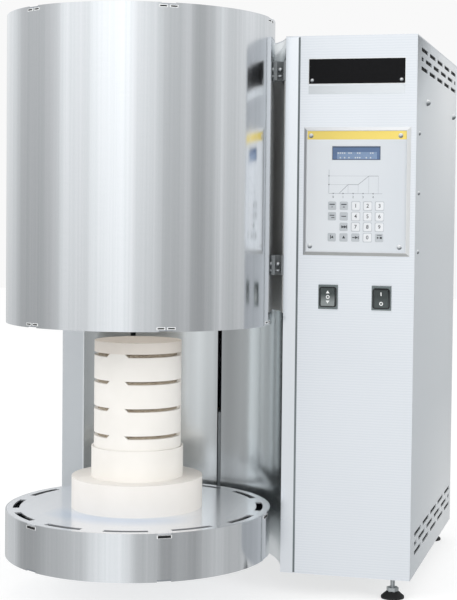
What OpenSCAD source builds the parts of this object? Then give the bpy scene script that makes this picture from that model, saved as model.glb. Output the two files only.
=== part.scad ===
// Lift-bottom dental sintering furnace.
// The round furnace drum hangs fixed in the hollow front of a sheet-metal housing.
// The round table below it carries the stack of firing dishes and rises into the drum
// on two arms, which a screw and two guide rods behind the hollow sheet drive.
// Millimetres. All places are given from the drum's axis, with +X right, +Y back, +Z up,
// and the whole is then moved so that the origin is the bottom centre of the box.

/* [Drum] */
// Outside diameter of the drum and of the table
drum_d = 349.6; // [338:0.2:352]
// Height of the drum's jacket
drum_h = 396; // [370:1:420]
// Sheet thickness of the drum's and the table's jackets
jacket_t = 1.2; // [0.8:0.1:2]
// Thickness of the drum's and the table's flat covers
cover_t = 2; // [1.5:0.1:2.5]
// Outside diameter of the drum's inner shell
inner_d = 300; // [280:1:316]
// Diameter of the firing chamber
chamber_d = 180; // [179:0.5:190]
// Height of the chamber from the drum's bottom ring to its roof
chamber_h = 282; // [276:1:290]
// Thickness of the roof insulation
roof_t = 62; // [50:1:70]
// Width of the tabs that join the covers to the jackets
tab_w = 17; // [10:0.5:24]
// Height of the notches that the tabs sit in
tab_notch_h = 3; // [2.6:0.1:4]
// Number of tabs round each cover
tab_count = 6; // [4:1:8]

/* [Table] */
// Height of the table's jacket
table_h = 60; // [52:1:66]
// Height of the table's underside above the floor, at rest
table_floor_gap = 55.5; // [50:0.5:60]
// Height of the loading space between the table and the drum
loading_gap = 245; // [236:1:252]
// Gap left between the table and the drum when the table is up
seal_gap = 0.5; // [0.3:0.1:1]
// Number of air slots round the table's top
rim_slot_count = 12; // [6:1:14]
// Angle that each air slot spans
rim_slot_deg = 19.5; // [12:0.5:22]
// Radial width of each air slot
rim_slot_w = 8.6; // [5:0.1:11]
// Land between the air slots and the table's edge
rim_land = 9.6; // [7:0.1:14]

/* [Ceramic stack] */
// Diameter of the insulation plug that closes the chamber
plug_d = 173; // [168:0.5:174]
// Height of the insulation plug
plug_h = 41; // [32:1:46]
// Diameter of the pedestal
pedestal_d = 121.4; // [120.4:0.2:125]
// Height of the pedestal
pedestal_h = 40; // [34:1:44]
// Depth of the recess in the pedestal's top
pedestal_recess = 16; // [8:1:20]
// Outside diameter of the firing dishes
dish_d = 115; // [108:0.5:116]
// Height of each firing dish
dish_h = 35.3; // [31:0.1:37]
// Wall of the firing dishes
dish_wall = 5; // [3.5:0.1:8]
// Floor of the firing dishes
dish_floor = 5; // [3.5:0.1:8]
// Depth of the notches in the dishes' rims
dish_notch_h = 4.6; // [3:0.1:8]
// Angle that each post between two notches spans
dish_post_deg = 31; // [12:1:40]
// Thickness of the dish lid
dish_lid_t = 14.5; // [8:0.5:16]
// How far the plug and the dishes stand to the left of the drum's axis
stack_shift = 2.5; // [0:0.1:2.8]
// Clearance round a dish in the pedestal's recess
dish_clear = 0.7; // [0.4:0.1:1]

/* [Housing] */
// Width of the column, from the hollow's edge to the right side
column_w = 174; // [168:1:184]
// Depth of the column, front to back
housing_d = 405; // [395:0.5:425]
// Height of the housing without its feet
housing_h = 709.3; // [694:0.1:722]
// Height of the feet under the housing
foot_h = 28.7; // [25:0.1:34]
// Thickness of the housing's sheets
sheet_t = 1.5; // [1.2:0.1:2]
// Thickness of the front panel
front_t = 2; // [1.5:0.1:3]
// Clearance between the drum and the hollow behind it
drum_clear = 14.5; // [12:0.1:18]
// Distance of the housing's front behind the drum's axis
front_set = 42; // [34:1:48]
// Width of the bright strip beside the front panel
strip_w = 17.4; // [12:0.1:22]
// Dark joint between the strip and the front panel
joint_w = 2; // [1:0.1:3]
// Angle at which the hollow ends on the left, from straight back
hollow_end_deg = 44.5; // [42:0.1:47]
// Place of the left side, from the drum's axis
left_side_x = -166.5; // [-170:0.5:-160]
// How far the floor sheet lies above the panels' lower edge
floor_inset = 6; // [4:0.5:10]
// How far the back panel lies inside the sides' rear edges
back_inset = 6; // [5:0.5:10]

/* [Vents] */
// Length of a vent slot
vent_len = 56.3; // [40:0.1:60]
// Height of a vent slot
vent_h = 5.3; // [3:0.1:7]
// Pitch of the vent slots along a row
vent_pitch = 74.9; // [64:0.1:80]
// Pitch of the rows
vent_row_pitch = 12.3; // [9:0.1:16]
// Number of rows in each field
vent_rows = 3; // [2:1:4]
// Margin between a field and the panel's front edge
vent_margin = 35.3; // [30:0.1:45]
// Margin between a field and the panel's rear edge
vent_rear_margin = 14.8; // [12:0.1:20]
// Depth of the top row below the housing's top
vent_top_drop = 15.4; // [12:0.1:25]
// Height of the lowest row above the housing's bottom
vent_low_rise = 28.7; // [22:0.1:40]

/* [Lift] */
// Distance between the two lift arms
arm_pitch = 130; // [120:1:140]
// Place of the arms' middle, from the drum's axis
arm_mid_x = -8; // [-14:1:4]
// Thickness of the lift arms
arm_t = 4; // [3:0.1:5]
// Width of the arm slots in the hollow sheet
arm_slot_w = 6.6; // [6:0.1:9]
// Height of the arms' tall part above the table's underside
arm_tall = 163; // [150:1:175]
// Distance of the guide rods behind the hollow's back
rod_set = 46; // [44:0.5:54]
// Distance between the guide rods
rod_pitch = 108; // [100:1:116]
// Diameter of the guide rods
rod_d = 16; // [12:0.5:18]
// Diameter of the lift screw
screw_d = 16; // [12:0.5:18]
// Running clearance on the rods and the screw, on the radius
run_clear = 0.06; // [0.03:0.01:0.1]
// Outside diameter of the rods' bushes
bush_d = 26; // [24:0.5:28]
// Length of each bush
bush_l = 34; // [28:1:38]

/* [Heating] */
// Number of heating elements
element_count = 4; // [3:1:4]
// Diameter of the heated leg of an element
element_d = 6; // [4:0.5:7]
// Distance between the two legs of an element
element_pitch = 30; // [24:0.5:36]
// Radius of the ring on which the elements hang
element_ring_r = 75; // [74:0.5:76]
// Height of the elements' lowest point above the chamber's mouth
element_rise = 52; // [48:1:60]
// Diameter of an element's cold end
terminal_d = 10; // [8:0.5:12]
// Outside diameter of the exhaust tube
exhaust_d = 30; // [24:0.5:34]
// Bore of the exhaust tube
exhaust_bore = 22; // [16:0.5:22]
// How far the exhaust tube stands above the drum's top cover
exhaust_proud = 8; // [5:0.5:14]

/* [Controller] */
// Width of the controller's frame
bezel_w = 141.2; // [133:0.1:145]
// Height of the controller's frame
bezel_h = 167.2; // [159:0.2:174]
// How far the controller's frame stands out of the front panel
bezel_t = 4; // [3:0.1:6]
// Width of the frame's sloping edge
bezel_slope = 4; // [2:0.1:5]
// Depth of the frame's middle below the housing's top
bezel_drop = 202.7; // [188:0.1:218]
// Depth of the controller's case behind the panel
case_depth = 58; // [40:1:80]
// Side of a key
key_w = 11.3; // [9:0.1:12]
// Pitch of the keys across
key_pitch_x = 15.7; // [14:0.1:16]
// Pitch of the keys down
key_pitch_z = 13.7; // [12.5:0.1:14]
// How far the keys stand out of the foil
key_proud = 0.4; // [0.2:0.1:0.6]

/* [Switches and plate] */
// Width of a rocker switch's rim
switch_w = 25.6; // [22:0.2:27]
// Height of a rocker switch's rim
switch_h = 31.8; // [28:0.2:33]
// How far a switch's rim stands out of the panel
switch_rim_t = 2; // [1.5:0.1:3]
// Width of a rocker
rocker_w = 18; // [15:0.1:19]
// Height of a rocker
rocker_h = 24.6; // [22:0.1:26]
// Depth of a switch behind the panel
switch_depth = 26; // [22:1:34]
// Depth of the switches' middle below the housing's top
switch_drop = 340.8; // [334:0.1:351]
// Distance between the two switches
switch_pitch = 70.9; // [60:0.1:74]
// Angle that a rocker tips to each side
rocker_tip = 8; // [5:0.5:10]
// Width of the blank nameplate
plate_w = 126.9; // [110:0.1:134]
// Height of the blank nameplate
plate_h = 32; // [26:0.1:36]
// Depth of the nameplate's middle below the housing's top
plate_drop = 46.6; // [38:0.1:54]

/* [Fan] */
// Side of the fan's frame
fan_size = 92; // [80:1:100]
// Depth of the fan's frame
fan_depth = 25; // [20:1:32]
// Number of fan blades
blade_count = 7; // [5:1:9]
// Thickness of a fan blade
blade_t = 1.6; // [1:0.1:2.4]

/* [Hidden] */
$fn = 96;

// Colours
stainless = [0.72, 0.74, 0.76];
brushed = [0.87, 0.89, 0.92];
side_grey = [0.77, 0.78, 0.80];
dark_steel = [0.58, 0.60, 0.62];
zinc = [0.80, 0.81, 0.80];
fibre = [0.96, 0.94, 0.90];
ceramic_white = [0.95, 0.94, 0.92];
lid_beige = [0.74, 0.70, 0.66];
black = [0.08, 0.08, 0.09];
rocker_grey = [0.23, 0.26, 0.26];
rim_grey = [0.43, 0.47, 0.47];
foil_grey = [0.85, 0.86, 0.89];
key_grey = [0.77, 0.79, 0.80];
lcd_blue = [0.36, 0.47, 0.65];
bronze = [0.70, 0.55, 0.30];
element_grey = [0.35, 0.34, 0.34];
dark_plastic = [0.15, 0.15, 0.16];

// Small clearances and overshoot of cuts
eps = 1;
slip = 0.2;
fit_gap = 0.3;

// Heights
housing_z0 = foot_h;
housing_z1 = housing_z0 + housing_h;
floor_z = housing_z0 + floor_inset;
floor_t = 2;
floor_top = floor_z + floor_t;
table_z0 = table_floor_gap;
table_z1 = table_z0 + table_h;
drum_z0 = table_z1 + loading_gap;
drum_z1 = drum_z0 + drum_h;
travel = loading_gap - seal_gap;

// Radii
drum_r = drum_d / 2;
jacket_in_r = drum_r - jacket_t;
cover_r = jacket_in_r - slip;
inner_r = inner_d / 2;
inner_t = 1;
chamber_r = chamber_d / 2;
plug_r = plug_d / 2;
pedestal_r = pedestal_d / 2;
dish_r = dish_d / 2;

// Housing's plan
front_y = front_set;
back_y = front_y + housing_d;
back_panel_y = back_y - back_inset;
hollow_r = drum_r + drum_clear;
column_x0 = sqrt(hollow_r * hollow_r - front_y * front_y);
right_x = column_x0 + column_w;
panel_x0 = column_x0 + strip_w + joint_w;
hollow_start = asin(front_y / hollow_r);
hollow_end = 90 + hollow_end_deg;
left_edge_x = hollow_r * cos(hollow_end);
left_edge_y = hollow_r * sin(hollow_end);
recess_t = sheet_t;
flange_w = 14;

// Overall box, which the fastener heads on the right side finish
screw_head_h = 2.2;
screw_head_r = 4.6;
box_x0 = -drum_r;
box_x1 = right_x + screw_head_h;
box_y0 = -drum_r;
box_y1 = back_y;
origin_x = (box_x0 + box_x1) / 2;
origin_y = (box_y0 + box_y1) / 2;

// Stack of ceramics
plug_z1 = table_z1 + plug_h;
pedestal_z1 = plug_z1 + pedestal_h;
dish_z0 = pedestal_z1 - pedestal_recess;
dish_turn = -8.7;

// Feet
foot_r = 15.4;
foot_neck_r = 8;
foot_pad_h = 9;
foot_stud_r = 3;
foot_nut_w = 14;
foot_nut_h = 5;
foot_inset = 26;
foot_front_y = 22.5;
foot_left_y = left_edge_y + 24;
foot_pad_rim = 2.5;
foot_collar_r = 8;
foot_collar_h = 3;
foot_stud_proud = 8;
foot_spots = [
    [right_x - foot_inset, front_y + foot_front_y],
    [right_x - foot_inset, back_y - foot_inset],
    [left_side_x + foot_inset, back_y - foot_inset],
    [left_side_x + foot_inset, foot_left_y]
];

// Vents
vent_min_len = 8;
back_vent_rows = 5;
back_vent_cols = 4;
back_vent_margin = 40;
back_vent_pitch = 80;
back_vent_rise = 60;

// Drum brackets, by their angle and their distance from the drum's ends
bracket_turns = [18, 66, 124];
bracket_rise = 77;
bracket_drop = 63;
bracket_zs = [drum_z0 + bracket_rise, drum_z1 - bracket_drop];
bracket_h = 26;
bracket_half_deg = 2.6;
bracket_t = 3;

// Lift
rod_y = hollow_r + rod_set;
arm_x = [arm_mid_x - arm_pitch / 2, arm_mid_x + arm_pitch / 2];
rod_x = [arm_mid_x - rod_pitch / 2, arm_mid_x + rod_pitch / 2];
rod_r = rod_d / 2;
screw_r = screw_d / 2;
bush_r = bush_d / 2;
block_wall = 6;
block_w = bush_d + 2 * block_wall;
carriage_t = 8;
carriage_back_y = rod_y - block_w / 2;
carriage_front_y = carriage_back_y - carriage_t;
carriage_side = 13;
carriage_w = arm_pitch + 2 * carriage_side;
arm_lift = 6;
arm_z0 = table_z0 + arm_lift;
arm_z1 = table_z0 + arm_tall;
arm_top_gap = 4;
arm_low_top = table_z1 - cover_t - arm_top_gap;
arm_reach = 80.3;
arm_front_y = drum_r - arm_reach;
arm_foot_w = 22;
arm_foot_l = 60;
arm_slot_low = 6;
arm_slot_high = 8;
carriage_z0 = arm_z0;
carriage_z1 = arm_z1;
mast_gap = 8;
mast_y = rod_y + block_w / 2 + mast_gap;
mast_t = 8;
mast_side = 30;
mast_foot_h = 90;
mast_z0 = floor_top;
end_block_h = 14;
end_clear = 24;
top_block_z0 = carriage_z1 + travel + end_clear;
mast_z1 = top_block_z0 + end_block_h;
mast_w = rod_pitch + 2 * mast_side;
bearing_r = 16;
nut_r = 14;
nut_flange_r = block_w / 2 - 0.5;
nut_flange_t = 8;
nut_l = 40;
nut_tray_bore = screw_r + 3;
nut_z0 = (carriage_z0 + carriage_z1) / 2 - nut_l / 2;
nut_tray_t = 8;
screw_floor_gap = 3;
screw_z0 = mast_z0 + screw_floor_gap;
coupling_r = 13;
coupling_h = 26;
coupling_grip = 6;
coupling_gap = 11;
coupling_z0 = mast_z1 + coupling_gap;
motor_w = 57;
motor_h = 90;
motor_flange_t = 6;
motor_gap = 16;
motor_z0 = coupling_z0 + coupling_h + motor_gap;
motor_shaft_r = 4;
stand_t = 6;
stand_bore_r = coupling_r + 1;

// Roof, elements and exhaust
chamber_roof_z = drum_z0 + chamber_h;
roof_top_z = chamber_roof_z + roof_t;
cover_z0 = drum_z1 - tab_notch_h;
spacer_h = 2;
spacer_drop = 22;
spacer_half_deg = 4;
ring_z1 = drum_z0 + tab_notch_h;
element_r = element_d / 2;
terminal_r = terminal_d / 2;
element_low_z = drum_z0 + element_rise;
terminal_gap = 8;
terminal_top_z = cover_z0 - terminal_gap;
terminal_sink = 12;
terminal_z0 = chamber_roof_z + terminal_sink;
holder_side = 11;
holder_w = element_pitch + 2 * holder_side;
holder_d = 18;
holder_h = 14;
bore_gap = 0.6;
probe_r = 3;
probe_turn = 45;
probe_drop = 36;
probe_low_z = chamber_roof_z - probe_drop;
probe_head_r = 9;
probe_head_h = 14;
exhaust_z1 = cover_z0 + cover_t + exhaust_proud;

// Front of the column
front_shift = -0.08;
front_mid_x = (panel_x0 + right_x) / 2 + front_shift;
bezel_x0 = front_mid_x - bezel_w / 2;
bezel_mid_z = housing_z1 - bezel_drop;
bezel_z0 = bezel_mid_z - bezel_h / 2;
bezel_z1 = bezel_z0 + bezel_h;
foil_margin = 4.7;
foil_sink = 0.8;
foil_w = bezel_w - 2 * foil_margin;
foil_h = bezel_h - 2 * foil_margin;
foil_x0 = bezel_x0 + foil_margin;
foil_z0 = bezel_z0 + foil_margin;
foil_z1 = foil_z0 + foil_h;
foil_y = front_y - bezel_t + foil_sink;
foil_t = 0.6;
case_margin = 8;
case_wall = 2;
case_w = bezel_w - 2 * case_margin;
case_h = bezel_h - 2 * case_margin;
case_x0 = bezel_x0 + case_margin;
case_z0 = bezel_z0 + case_margin;
lcd_w = 63.5;
lcd_h = 17.6;
lcd_left = 33.8;
lcd_drop = 37.9;
lcd_x0 = foil_x0 + lcd_left;
lcd_z0 = foil_z1 - lcd_drop;
lcd_proud = 0.3;
key_left = 34.4;
key_rise = 60.2;
key_x0 = foil_x0 + key_left;
key_top_z = foil_z0 + key_rise;
key_rows = [
    [1, 1, 1, 1, 1],
    [1, 1, 1, 1, 1],
    [0, 1, 1, 1, 1],
    [1, 1, 1, 1, 1]
];

plate_shift = -1.8;
plate_x0 = front_mid_x + plate_shift - plate_w / 2;
plate_z0 = housing_z1 - plate_drop - plate_h / 2;
plate_t = 1;

switch_z = housing_z1 - switch_drop;
switch_shift = -0.54;
switch_x = [front_mid_x + switch_shift - switch_pitch / 2, front_mid_x + switch_shift + switch_pitch / 2];
switch_body_w = switch_w - 4;
switch_body_h = switch_h - 3;
switch_back_t = 6;
rocker_gap = 0.5;
rocker_proud = 2;
rocker_body = 8;
rocker_valley = 1.6;
rocker_corner = 0.6;
rocker_draw = 2.2;
rocker_heel = 3;
pivot_r = 1.5;
pivot_y = front_y + 3;
pivot_stub = 0.8;

// Fan and inlet on the back
fan_x = (panel_x0 + right_x) / 2;
fan_drop = 150;
fan_z = housing_z1 - fan_drop;
fan_rim = 4;
fan_hole_r = fan_size / 2 - fan_rim;
fan_y1 = back_panel_y;
fan_y0 = fan_y1 - fan_depth;
hub_r = 18;
hub_h = 18;
hub_gap = 1;
rotor_r = fan_hole_r - 2;
blade_chord = 22;
blade_pitch_deg = 35;
axle_r = 2.5;
spider_t = 4;
spider_gap = 2;
spider_half_deg = 7;
inlet_w = 50;
inlet_h = 30;
inlet_rise = 60;
inlet_z = housing_z0 + inlet_rise;
inlet_flange = 4;
inlet_lip = 3;
inlet_depth = 24;
inlet_back_t = 4;
socket_w = 28;
socket_h = 18;
guard_wire = 1.4;
guard_rings = 4;
guard_foot = 8;

// Screws: places along y, depths below the housing's top, and sizes of the heads
side_screw_ys = [front_y + 89.7, back_y - 44.5];
side_screw_z = housing_z1 - 80.9;
rivet_drops = [125.9, 203.7, 280.4];
rivet_y = front_y + 24;
rivet_r = 1.6;
rivet_h = 0.8;
bezel_screw_xs = [bezel_x0 + 9.8, bezel_x0 + bezel_w - 12.9];
bezel_screw_zs = [bezel_z0 + 11.9, bezel_z1 - 11.3];
bezel_screw_r = 3.2;
bezel_screw_h = 1.4;
plate_screw_inset = 4.4;
plate_screw_r = 2.4;
plate_screw_h = 1.2;
back_screw_xs = [left_side_x + 26, (left_side_x + right_x) / 2 + 4, right_x - 12];
back_screw_inset = 24;
back_screw_r = 3.6;
back_screw_h = 1.8;

// Transformer, power parts and the sheet that carries them
mount_gap = 18;
mount_x = panel_x0 + mount_gap;
mount_t = 2;
mount_clear = 12;
mount_y0 = front_y + front_t + case_depth + mount_clear;
mount_y1 = back_panel_y;
mount_top_gap = 58.5;
transformer_w = 84;
transformer_d = 110;
transformer_h = 120;
transformer_limb = 22;
transformer_yoke = 24;
transformer_back_gap = 60;
transformer_x0 = (mount_x + mount_t + right_x - sheet_t - transformer_w) / 2;
transformer_y0 = back_panel_y - transformer_back_gap - transformer_d;
winding_proud = 12;
winding_end_gap = 2;
heat_sink_set = 90;
heat_sink_rise = 230;
heat_sink_h = 150;
heat_sink_base = 8;
heat_sink_fins = 9;
fin_pitch = 12;
fin_t = 2;
fin_depth = 26;
contactor_set = 60;
contactor_rise = 430;
contactor_t = 46;
contactor_w = 45;
contactor_h = 78;
terminals_set = 15;
terminals_t = 30;
terminals_w = 90;
terminals_h = 42;

// Moves the drum's axis to its place from the origin
module on_axis() {
    translate([-origin_x, -origin_y, 0]) children();
}

// Moves the stack to its place on the table
module on_table() {
    on_axis() translate([-stack_shift, 0, 0]) children();
}

// A block from two corners
module block(low, high) {
    translate(low) cube(high - low);
}

// A tube between two heights
module tube(r_out, r_in, z0, z1) {
    translate([0, 0, z0]) difference() {
        cylinder(r = r_out, h = z1 - z0);
        translate([0, 0, -eps]) cylinder(r = r_in, h = z1 - z0 + 2 * eps);
    }
}

// A sector of a ring, from one angle to another
module ring_sector(r_in, r_out, z0, z1, a0, a1) {
    translate([0, 0, z0]) rotate([0, 0, a0]) rotate_extrude(angle = a1 - a0)
        translate([r_in, 0]) square([r_out - r_in, z1 - z0]);
}

// The tabs of a cover, or the notches for them with a clearance
module tabs(z0, z1, r_in, r_out, clear) {
    half = asin((tab_w / 2 + clear) / drum_r);
    for (k = [0 : tab_count - 1]) {
        a = -90 + 180 / tab_count + k * 360 / tab_count;
        ring_sector(r_in, r_out, z0, z1, a - half, a + half);
    }
}

// Copies of a child at every tab's angle
module at_each_turn(count, start) {
    for (k = [0 : count - 1]) rotate([0, 0, start + k * 360 / count]) children();
}

// Plan of the housing, drawn in by a margin
module housing_plan(inset) {
    r = hollow_r + inset;
    x0 = left_side_x + inset;
    x1 = right_x - inset;
    y1 = back_y - inset;
    difference() {
        union() {
            translate([0, front_y + inset]) square([x1, y1 - front_y - inset]);
            translate([x0, left_edge_y + inset]) square([-x0 + eps, y1 - left_edge_y - inset]);
        }
        circle(r = r, $fn = 180);
    }
}

// One field of vent slots in a side, drawn along y and z, on every other row shifted
module vent_field(y_from, y_to, z_low) {
    field = y_to - y_from;
    for (row = [0 : vent_rows - 1]) {
        shift = (row % 2 == 0) ? 0 : -vent_pitch / 2;
        for (k = [0 : ceil(field / vent_pitch)]) {
            y0 = max(y_from, y_from + shift + k * vent_pitch);
            y1 = min(y_to, y_from + shift + k * vent_pitch + vent_len);
            z = z_low + row * vent_row_pitch;
            if (y1 - y0 > vent_min_len) translate([y0, z - vent_h / 2]) square([y1 - y0, vent_h]);
        }
    }
}

// Both fields of a side
module side_vents(y_from, y_to) {
    low_z = housing_z0 + vent_low_rise;
    top_z = housing_z1 - vent_top_drop - (vent_rows - 1) * vent_row_pitch;
    vent_field(y_from, y_to, low_z);
    vent_field(y_from, y_to, top_z);
}

// A flat figure in y and z made a sheet between two x
module sheet_x(x0, x1) {
    translate([x0, 0, 0]) rotate([90, 0, 90]) linear_extrude(x1 - x0) children();
}

// A flat figure in x and z made a sheet between two y
module sheet_y(y0, y1) {
    translate([0, y1, 0]) rotate([90, 0, 0]) linear_extrude(y1 - y0) children();
}

module base_plate() {
    color(zinc) on_axis() difference() {
        translate([0, 0, floor_z]) linear_extrude(floor_t) housing_plan(front_t);
        for (p = foot_spots) translate([p[0], p[1], 0]) cylinder(r = foot_stud_r + slip, h = floor_top + eps);
    }
}

module right_side_panel() {
    color(side_grey) on_axis() {
        sheet_x(right_x - sheet_t, right_x) difference() {
            translate([front_y + front_t, housing_z0])
                square([housing_d - front_t, housing_h - sheet_t]);
            side_vents(front_y + vent_margin, back_y - vent_rear_margin);
        }
        block(
            [right_x - flange_w, back_y - sheet_t, floor_top],
            [right_x - sheet_t, back_y, housing_z1 - sheet_t]
        );
    }
}

module left_side_panel() {
    color(side_grey) on_axis() {
        sheet_x(left_side_x, left_side_x + sheet_t) difference() {
            translate([left_edge_y, housing_z0]) square([back_y - left_edge_y, housing_h - sheet_t]);
            side_vents(left_edge_y + vent_margin, back_y - vent_rear_margin);
        }
        block(
            [left_side_x + sheet_t, left_edge_y, housing_z0],
            [left_edge_x - recess_t, left_edge_y + sheet_t, housing_z1 - sheet_t]
        );
        block(
            [left_side_x + sheet_t, back_y - sheet_t, floor_top],
            [left_side_x + flange_w, back_y, housing_z1 - sheet_t]
        );
    }
}

module front_panel() {
    color(brushed) on_axis() sheet_y(front_y, front_y + front_t) difference() {
        translate([panel_x0, housing_z0]) square([right_x - panel_x0, housing_h - sheet_t]);
        translate([case_x0 - fit_gap, case_z0 - fit_gap])
            square([case_w + 2 * fit_gap, case_h + 2 * fit_gap]);
        for (x = switch_x) switch_cutout(x);
    }
}

module switch_cutout(x) {
    translate([x - switch_body_w / 2, switch_z - switch_body_h / 2]) square([switch_body_w, switch_body_h]);
}

module recess_sheet() {
    color(dark_steel) on_axis() {
        block(
            [column_x0, front_y, housing_z0],
            [column_x0 + strip_w, front_y + recess_t, housing_z1 - sheet_t]
        );
        block(
            [column_x0 + strip_w - recess_t, front_y + recess_t, floor_top],
            [column_x0 + strip_w, front_y + flange_w, housing_z1 - sheet_t]
        );
        difference() {
            ring_sector(
                hollow_r, hollow_r + recess_t, floor_z, housing_z1 - sheet_t, hollow_start, hollow_end
            );
            for (x = arm_x) block(
                [x - arm_slot_w / 2, 0, arm_z0 - arm_slot_low],
                [x + arm_slot_w / 2, hollow_r + recess_t + eps, arm_z1 + travel + arm_slot_high]
            );
        }
    }
}

module housing_lid() {
    color(brushed) on_axis() translate([0, 0, housing_z1 - sheet_t]) linear_extrude(sheet_t) housing_plan(0);
}

module back_panel() {
    color(side_grey) on_axis() sheet_y(back_panel_y, back_panel_y + sheet_t) difference() {
        translate([left_side_x + sheet_t, floor_top])
            square([right_x - left_side_x - 2 * sheet_t, housing_z1 - sheet_t - floor_top]);
        translate([fan_x, fan_z]) circle(r = fan_hole_r);
        translate([fan_x, inlet_z]) square([inlet_w - 2 * inlet_lip, inlet_h - 2 * inlet_lip], center = true);
        for (row = [0 : back_vent_rows - 1]) for (col = [0 : back_vent_cols - 1]) translate([
            left_side_x + back_vent_margin + col * back_vent_pitch,
            housing_z0 + back_vent_rise + row * vent_row_pitch
        ]) square([vent_len, vent_h]);
    }
}

// The drum's jacket with open notches at both edges
module drum_jacket() {
    color(stainless) on_axis() difference() {
        tube(drum_r, jacket_in_r, drum_z0, drum_z1);
        tabs(drum_z0 - eps, ring_z1, jacket_in_r - eps, drum_r + eps, fit_gap);
        tabs(cover_z0, drum_z1 + eps, jacket_in_r - eps, drum_r + eps, fit_gap);
    }
}

module drum_top_cover() {
    color(stainless) on_axis() {
        tube(cover_r, exhaust_d / 2 + slip, cover_z0, cover_z0 + cover_t);
        tabs(cover_z0, cover_z0 + cover_t, cover_r - 2, drum_r, 0);
    }
}

module drum_bottom_ring() {
    color(stainless) on_axis() {
        tube(cover_r, chamber_r + 1, ring_z1 - cover_t, ring_z1);
        tabs(ring_z1 - cover_t, ring_z1, cover_r - 2, drum_r, 0);
    }
}

module drum_inner_shell() {
    color(dark_steel) on_axis() {
        tube(inner_r, inner_r - inner_t, ring_z1, roof_top_z);
        at_each_turn(4, 45) ring_sector(
            inner_r, jacket_in_r, roof_top_z - spacer_drop, roof_top_z - spacer_drop + spacer_h,
            -spacer_half_deg, spacer_half_deg
        );
    }
}

module chamber_wall_insulation() {
    color(fibre) on_axis() tube(inner_r - inner_t, chamber_r, ring_z1, chamber_roof_z);
}

module chamber_roof_insulation() {
    color(fibre) on_axis() difference() {
        translate([0, 0, chamber_roof_z]) cylinder(r = inner_r - inner_t, h = roof_t);
        translate([0, 0, chamber_roof_z - eps]) cylinder(r = exhaust_d / 2, h = roof_t + 2 * eps);
        at_each_turn(element_count, 0) for (s = [-1, 1])
            translate([element_ring_r, s * element_pitch / 2, chamber_roof_z - eps])
                cylinder(r = terminal_r + bore_gap, h = roof_t + 2 * eps);
        rotate([0, 0, probe_turn]) translate([element_ring_r, 0, chamber_roof_z - eps])
            cylinder(r = probe_r + bore_gap, h = roof_t + 2 * eps);
    }
}

module exhaust_tube() {
    color(ceramic_white) on_axis() tube(exhaust_d / 2, exhaust_bore / 2, chamber_roof_z, exhaust_z1);
}

// One U-shaped heating element in its own plane
module heating_element() {
    bend_r = element_pitch / 2;
    for (s = [-1, 1]) translate([0, s * bend_r, 0]) {
        translate([0, 0, element_low_z + bend_r])
            cylinder(r = element_r, h = terminal_z0 - element_low_z - bend_r);
        translate([0, 0, terminal_z0]) cylinder(r = terminal_r, h = terminal_top_z - terminal_z0);
    }
    translate([0, 0, element_low_z + bend_r]) rotate([90, 0, 90]) rotate([0, 0, 180])
        rotate_extrude(angle = 180) translate([bend_r, 0]) circle(r = element_r, $fn = 32);
}

module heating_elements() {
    color(element_grey) on_axis() at_each_turn(element_count, 0)
        translate([element_ring_r, 0, 0]) heating_element();
}

// Ceramic clamps that hang the elements on the roof
module element_holders() {
    color(ceramic_white) on_axis() at_each_turn(element_count, 0) difference() {
        translate([element_ring_r - holder_d / 2, -holder_w / 2, roof_top_z])
            cube([holder_d, holder_w, holder_h]);
        for (s = [-1, 1]) translate([element_ring_r, s * element_pitch / 2, roof_top_z - eps])
            cylinder(r = terminal_r, h = holder_h + 2 * eps);
    }
}

module thermocouple() {
    color(ceramic_white) on_axis() rotate([0, 0, probe_turn]) translate([element_ring_r, 0, 0]) {
        translate([0, 0, probe_low_z]) cylinder(r = probe_r, h = roof_top_z - probe_low_z);
        translate([0, 0, roof_top_z]) cylinder(r = probe_head_r, h = probe_head_h);
    }
}

// Brackets that hang the drum in the hollow
module drum_brackets() {
    color(zinc) on_axis() for (z = bracket_zs) for (a = bracket_turns) {
        ring_sector(drum_r, drum_r + bracket_t, z - bracket_h / 2, z + bracket_h / 2,
            a - 2 * bracket_half_deg, a + 2 * bracket_half_deg);
        ring_sector(drum_r + bracket_t, hollow_r - bracket_t, z - bracket_h / 2, z + bracket_h / 2,
            a - bracket_half_deg / 2, a + bracket_half_deg / 2);
        ring_sector(hollow_r - bracket_t, hollow_r, z - bracket_h / 2, z + bracket_h / 2,
            a - 2 * bracket_half_deg, a + 2 * bracket_half_deg);
    }
}

module lift_mast() {
    color(zinc) on_axis() {
        block([arm_mid_x - mast_w / 2, mast_y, mast_z0], [arm_mid_x + mast_w / 2, mast_y + mast_t, mast_z1]);
        for (s = [-1, 1]) block(
            [arm_mid_x + s * (mast_w / 2 - mast_t / 2) - mast_t / 2, mast_y + mast_t, mast_z0],
            [arm_mid_x + s * (mast_w / 2 - mast_t / 2) + mast_t / 2, back_panel_y, mast_z0 + mast_foot_h]
        );
    }
}

// One end block with seats for the rods and the bearing
module end_block(z0) {
    difference() {
        block(
            [arm_mid_x - mast_w / 2, rod_y - block_w / 2, z0],
            [arm_mid_x + mast_w / 2, mast_y, z0 + end_block_h]
        );
        for (x = rod_x) translate([x, rod_y, z0 - eps]) cylinder(r = rod_r, h = end_block_h + 2 * eps);
        translate([arm_mid_x, rod_y, z0 - eps]) cylinder(r = bearing_r, h = end_block_h + 2 * eps);
    }
}

module lift_end_blocks() {
    color(side_grey) on_axis() {
        end_block(mast_z0);
        end_block(top_block_z0);
        motor_stand();
    }
}

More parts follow.
